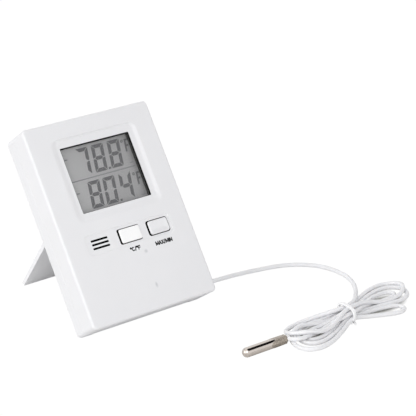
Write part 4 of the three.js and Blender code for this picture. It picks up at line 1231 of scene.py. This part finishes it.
# ------------------------------------------------------------------ what stays from the CAD model
KEEP = {
    "circuit_board": ("board", "board_laminate"),
    "chip_blob": ("epoxy", "black_epoxy"),
    "crystal": ("can", "metal_can"),
    "capacitor_a": ("amber", "amber_ceramic"),
    "capacitor_b": ("amber", "amber_ceramic"),
    "resistor_a": ("epoxy", "black_epoxy"),
    "room_thermistor": ("amber", "amber_ceramic"),
    "unit_switch": ("black", "black_plastic"),
    "unit_switch_plunger": ("rubber", "contact_rubber"),
    "max_min_switch": ("black", "black_plastic"),
    "max_min_switch_plunger": ("rubber", "contact_rubber"),
    "battery_cell": ("cell", "cell_jacket"),
    "battery_spring": ("zinc", "plated_steel"),
    "battery_contact": ("zinc", "plated_steel"),
    "battery_wire_red": ("red", "red_wire"),
    "battery_wire_black": ("black_wire", "black_wire"),
    "board_screw_1": ("zinc", "plated_steel"),
    "board_screw_2": ("zinc", "plated_steel"),
    "board_screw_3": ("zinc", "plated_steel"),
    "board_screw_4": ("zinc", "plated_steel"),
    "lcd_reflector": ("foil", "reflector_foil"),
    "lcd_contact_strip": ("rubber", "contact_rubber"),
    "probe_cable_inner": ("cord", "cord_jacket"),
    "cable_stop": ("tie", "tie_plastic"),
    "probe_lead_a": ("red", "red_wire"),
    "probe_lead_b": ("led", "cord_jacket"),
    "probe_thermistor": ("amber", "amber_ceramic"),
}
for name, (key, slot) in KEEP.items():
    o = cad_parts[name]
    o.data.materials.clear()
    o.data.materials.append(M[key])

# ------------------------------------------------------------------ floor, world and lights
floor_mat = bpy.data.materials.new("pale_floor")
floor_mat.use_nodes = True
nt = floor_mat.node_tree
fb = nt.nodes["Principled BSDF"]
fb.inputs["Base Color"].default_value = (0.75, 0.748, 0.742, 1)
fb.inputs["Roughness"].default_value = 0.9
fb.inputs["Specular IOR Level"].default_value = 0.1
fb.inputs["Emission Color"].default_value = (1, 1, 1, 1)
fb.inputs["Emission Strength"].default_value = 0.0
# painted shadow: seen from the camera the floor is an even white, except inside two ellipses in the hank's loops, where
# a darker diffuse colour stands in for the shadow between the cord's strands
lp = node(nt, "ShaderNodeLightPath", -300, 300)
painted_loop_shadow = node(nt, "ShaderNodeBsdfDiffuse", -100, 350)
painted_loop_shadow.inputs["Color"].default_value = (0.40, 0.395, 0.375, 1)
seen = node(nt, "ShaderNodeMixShader", 50, 300)
white = node(nt, "ShaderNodeEmission", -100, 150)
white.inputs["Color"].default_value = (1, 1, 1, 1)
white.inputs["Strength"].default_value = 1.02
pick = node(nt, "ShaderNodeMixShader", 200, 200)
ftc = node(nt, "ShaderNodeTexCoord", -1300, -300)
outside_loop_shadow = None
for cx, cy, rx, ry in ((0.1115, -0.0655, 0.0190, 0.0095), (0.0660, -0.0690, 0.0165, 0.0085)):
    fmp = node(nt, "ShaderNodeMapping", -1100, -300)
    fmp.vector_type = "TEXTURE"
    fmp.inputs["Location"].default_value = (cx, cy + SHIFT_Y * MM, 0.0)
    fmp.inputs["Scale"].default_value = (rx, ry, 1.0)
    nt.links.new(ftc.outputs["Object"], fmp.inputs["Vector"])
    fg = node(nt, "ShaderNodeTexGradient", -900, -300)
    fg.gradient_type = "SPHERICAL"
    nt.links.new(fmp.outputs["Vector"], fg.inputs["Vector"])
    fe = node(nt, "ShaderNodeValToRGB", -700, -300)
    fe.color_ramp.elements[0].position = 0.0
    fe.color_ramp.elements[0].color = (1, 1, 1, 1)
    fe.color_ramp.elements[1].position = 0.32
    fe.color_ramp.elements[1].color = (0.0, 0.0, 0.0, 1)
    nt.links.new(fg.outputs["Fac"], fe.inputs["Fac"])
    fx = node(nt, "ShaderNodeMath", -400, -300)
    fx.operation = "MULTIPLY"
    nt.links.new(fe.outputs["Color"], fx.inputs[0])
    if outside_loop_shadow:
        nt.links.new(outside_loop_shadow, fx.inputs[1])
    else:
        fx.inputs[1].default_value = 1.0
    outside_loop_shadow = fx.outputs["Value"]
nt.links.new(outside_loop_shadow, seen.inputs[0])
nt.links.new(painted_loop_shadow.outputs["BSDF"], seen.inputs[1])
nt.links.new(white.outputs["Emission"], seen.inputs[2])
nt.links.new(lp.outputs["Is Camera Ray"], pick.inputs[0])
nt.links.new(fb.outputs["BSDF"], pick.inputs[1])
nt.links.new(seen.outputs["Shader"], pick.inputs[2])
nt.links.new(pick.outputs["Shader"], nt.nodes["Material Output"].inputs["Surface"])
fs = Skin()
ring = [fs.ring([(r * math.cos(2 * math.pi * k / 96), r * math.sin(2 * math.pi * k / 96), 0.0) for k in range(96)]) for r in (0.4, 2.0, 12.0)]
fs.fill(ring[0], [], (0, 0, 1))
for a, b in zip(ring[:-1], ring[1:]):
    for k in range(96):
        j = (k + 1) % 96
        fs.f.append((a[k], b[k], b[j], a[j]))
floor = fs.make("floor", Matrix.Identity(4), 1.0)
floor.data.materials.append(floor_mat)

world = bpy.data.worlds.new("studio")
scene.world = world
world.use_nodes = True
wn = world.node_tree
bg = wn.nodes["Background"]
tc = node(wn, "ShaderNodeTexCoord", -900, 0)
sep = node(wn, "ShaderNodeSeparateXYZ", -700, 0)
wn.links.new(tc.outputs["Generated"], sep.inputs["Vector"])
wr = node(wn, "ShaderNodeValToRGB", -450, 0)
side = node(wn, "ShaderNodeMapRange", -600, 150)
side.inputs["From Min"].default_value = -1.0
side.inputs["From Max"].default_value = 1.0
wn.links.new(sep.outputs["X"], side.inputs["Value"])
wn.links.new(side.outputs["Result"], wr.inputs["Fac"])
e = wr.color_ramp
e.elements[0].position = 0.0
e.elements[0].color = (1, 1, 1, 1)
e.elements[1].position = 1.0
e.elements[1].color = (0.84, 0.84, 0.85, 1)
flag = node(wn, "ShaderNodeVectorMath", -700, -300)
flag.operation = "DOT_PRODUCT"
flag.inputs[1].default_value = Vector((0.444, -0.189, 0.875)).normalized()
wn.links.new(tc.outputs["Generated"], flag.inputs[0])
fr = node(wn, "ShaderNodeValToRGB", -450, -300)
fr.color_ramp.elements[0].position = 0.892
fr.color_ramp.elements[0].color = (1, 1, 1, 1)
fr.color_ramp.elements[1].position = 0.906
fr.color_ramp.elements[1].color = (0.01, 0.01, 0.01, 1)
wn.links.new(flag.outputs["Value"], fr.inputs["Fac"])
mul = node(wn, "ShaderNodeMix", -200, 0)
mul.data_type = "RGBA"
mul.blend_type = "MULTIPLY"
mul.inputs["Factor"].default_value = 1.0
wn.links.new(wr.outputs["Color"], mul.inputs[6])
wn.links.new(fr.outputs["Color"], mul.inputs[7])
wn.links.new(mul.outputs[2], bg.inputs["Color"])
bg.inputs["Strength"].default_value = 1.04


def area(name, loc, target, size, power, color=(1, 1, 1)):
    ld = bpy.data.lights.new(name, "AREA")
    ld.shape = "RECTANGLE"
    ld.size, ld.size_y = size
    ld.energy = power
    ld.color = color
    o = bpy.data.objects.new(name, ld)
    scene.collection.objects.link(o)
    o.location = loc
    o.rotation_euler = (Vector(target) - Vector(loc)).to_track_quat("-Z", "Y").to_euler()
    return o


area("key", (-1.2, 0.05, 0.45), (0.0, 0.0, 0.05), (0.8, 0.8), 2.5)
area("front", (-0.22, -0.34, 0.30), (0.0, -0.02, 0.04), (0.26, 0.26), 0.4)

scene.view_settings.view_transform = "Standard"
scene.view_settings.look = "None"
scene.view_settings.exposure = 0
scene.view_settings.gamma = 1
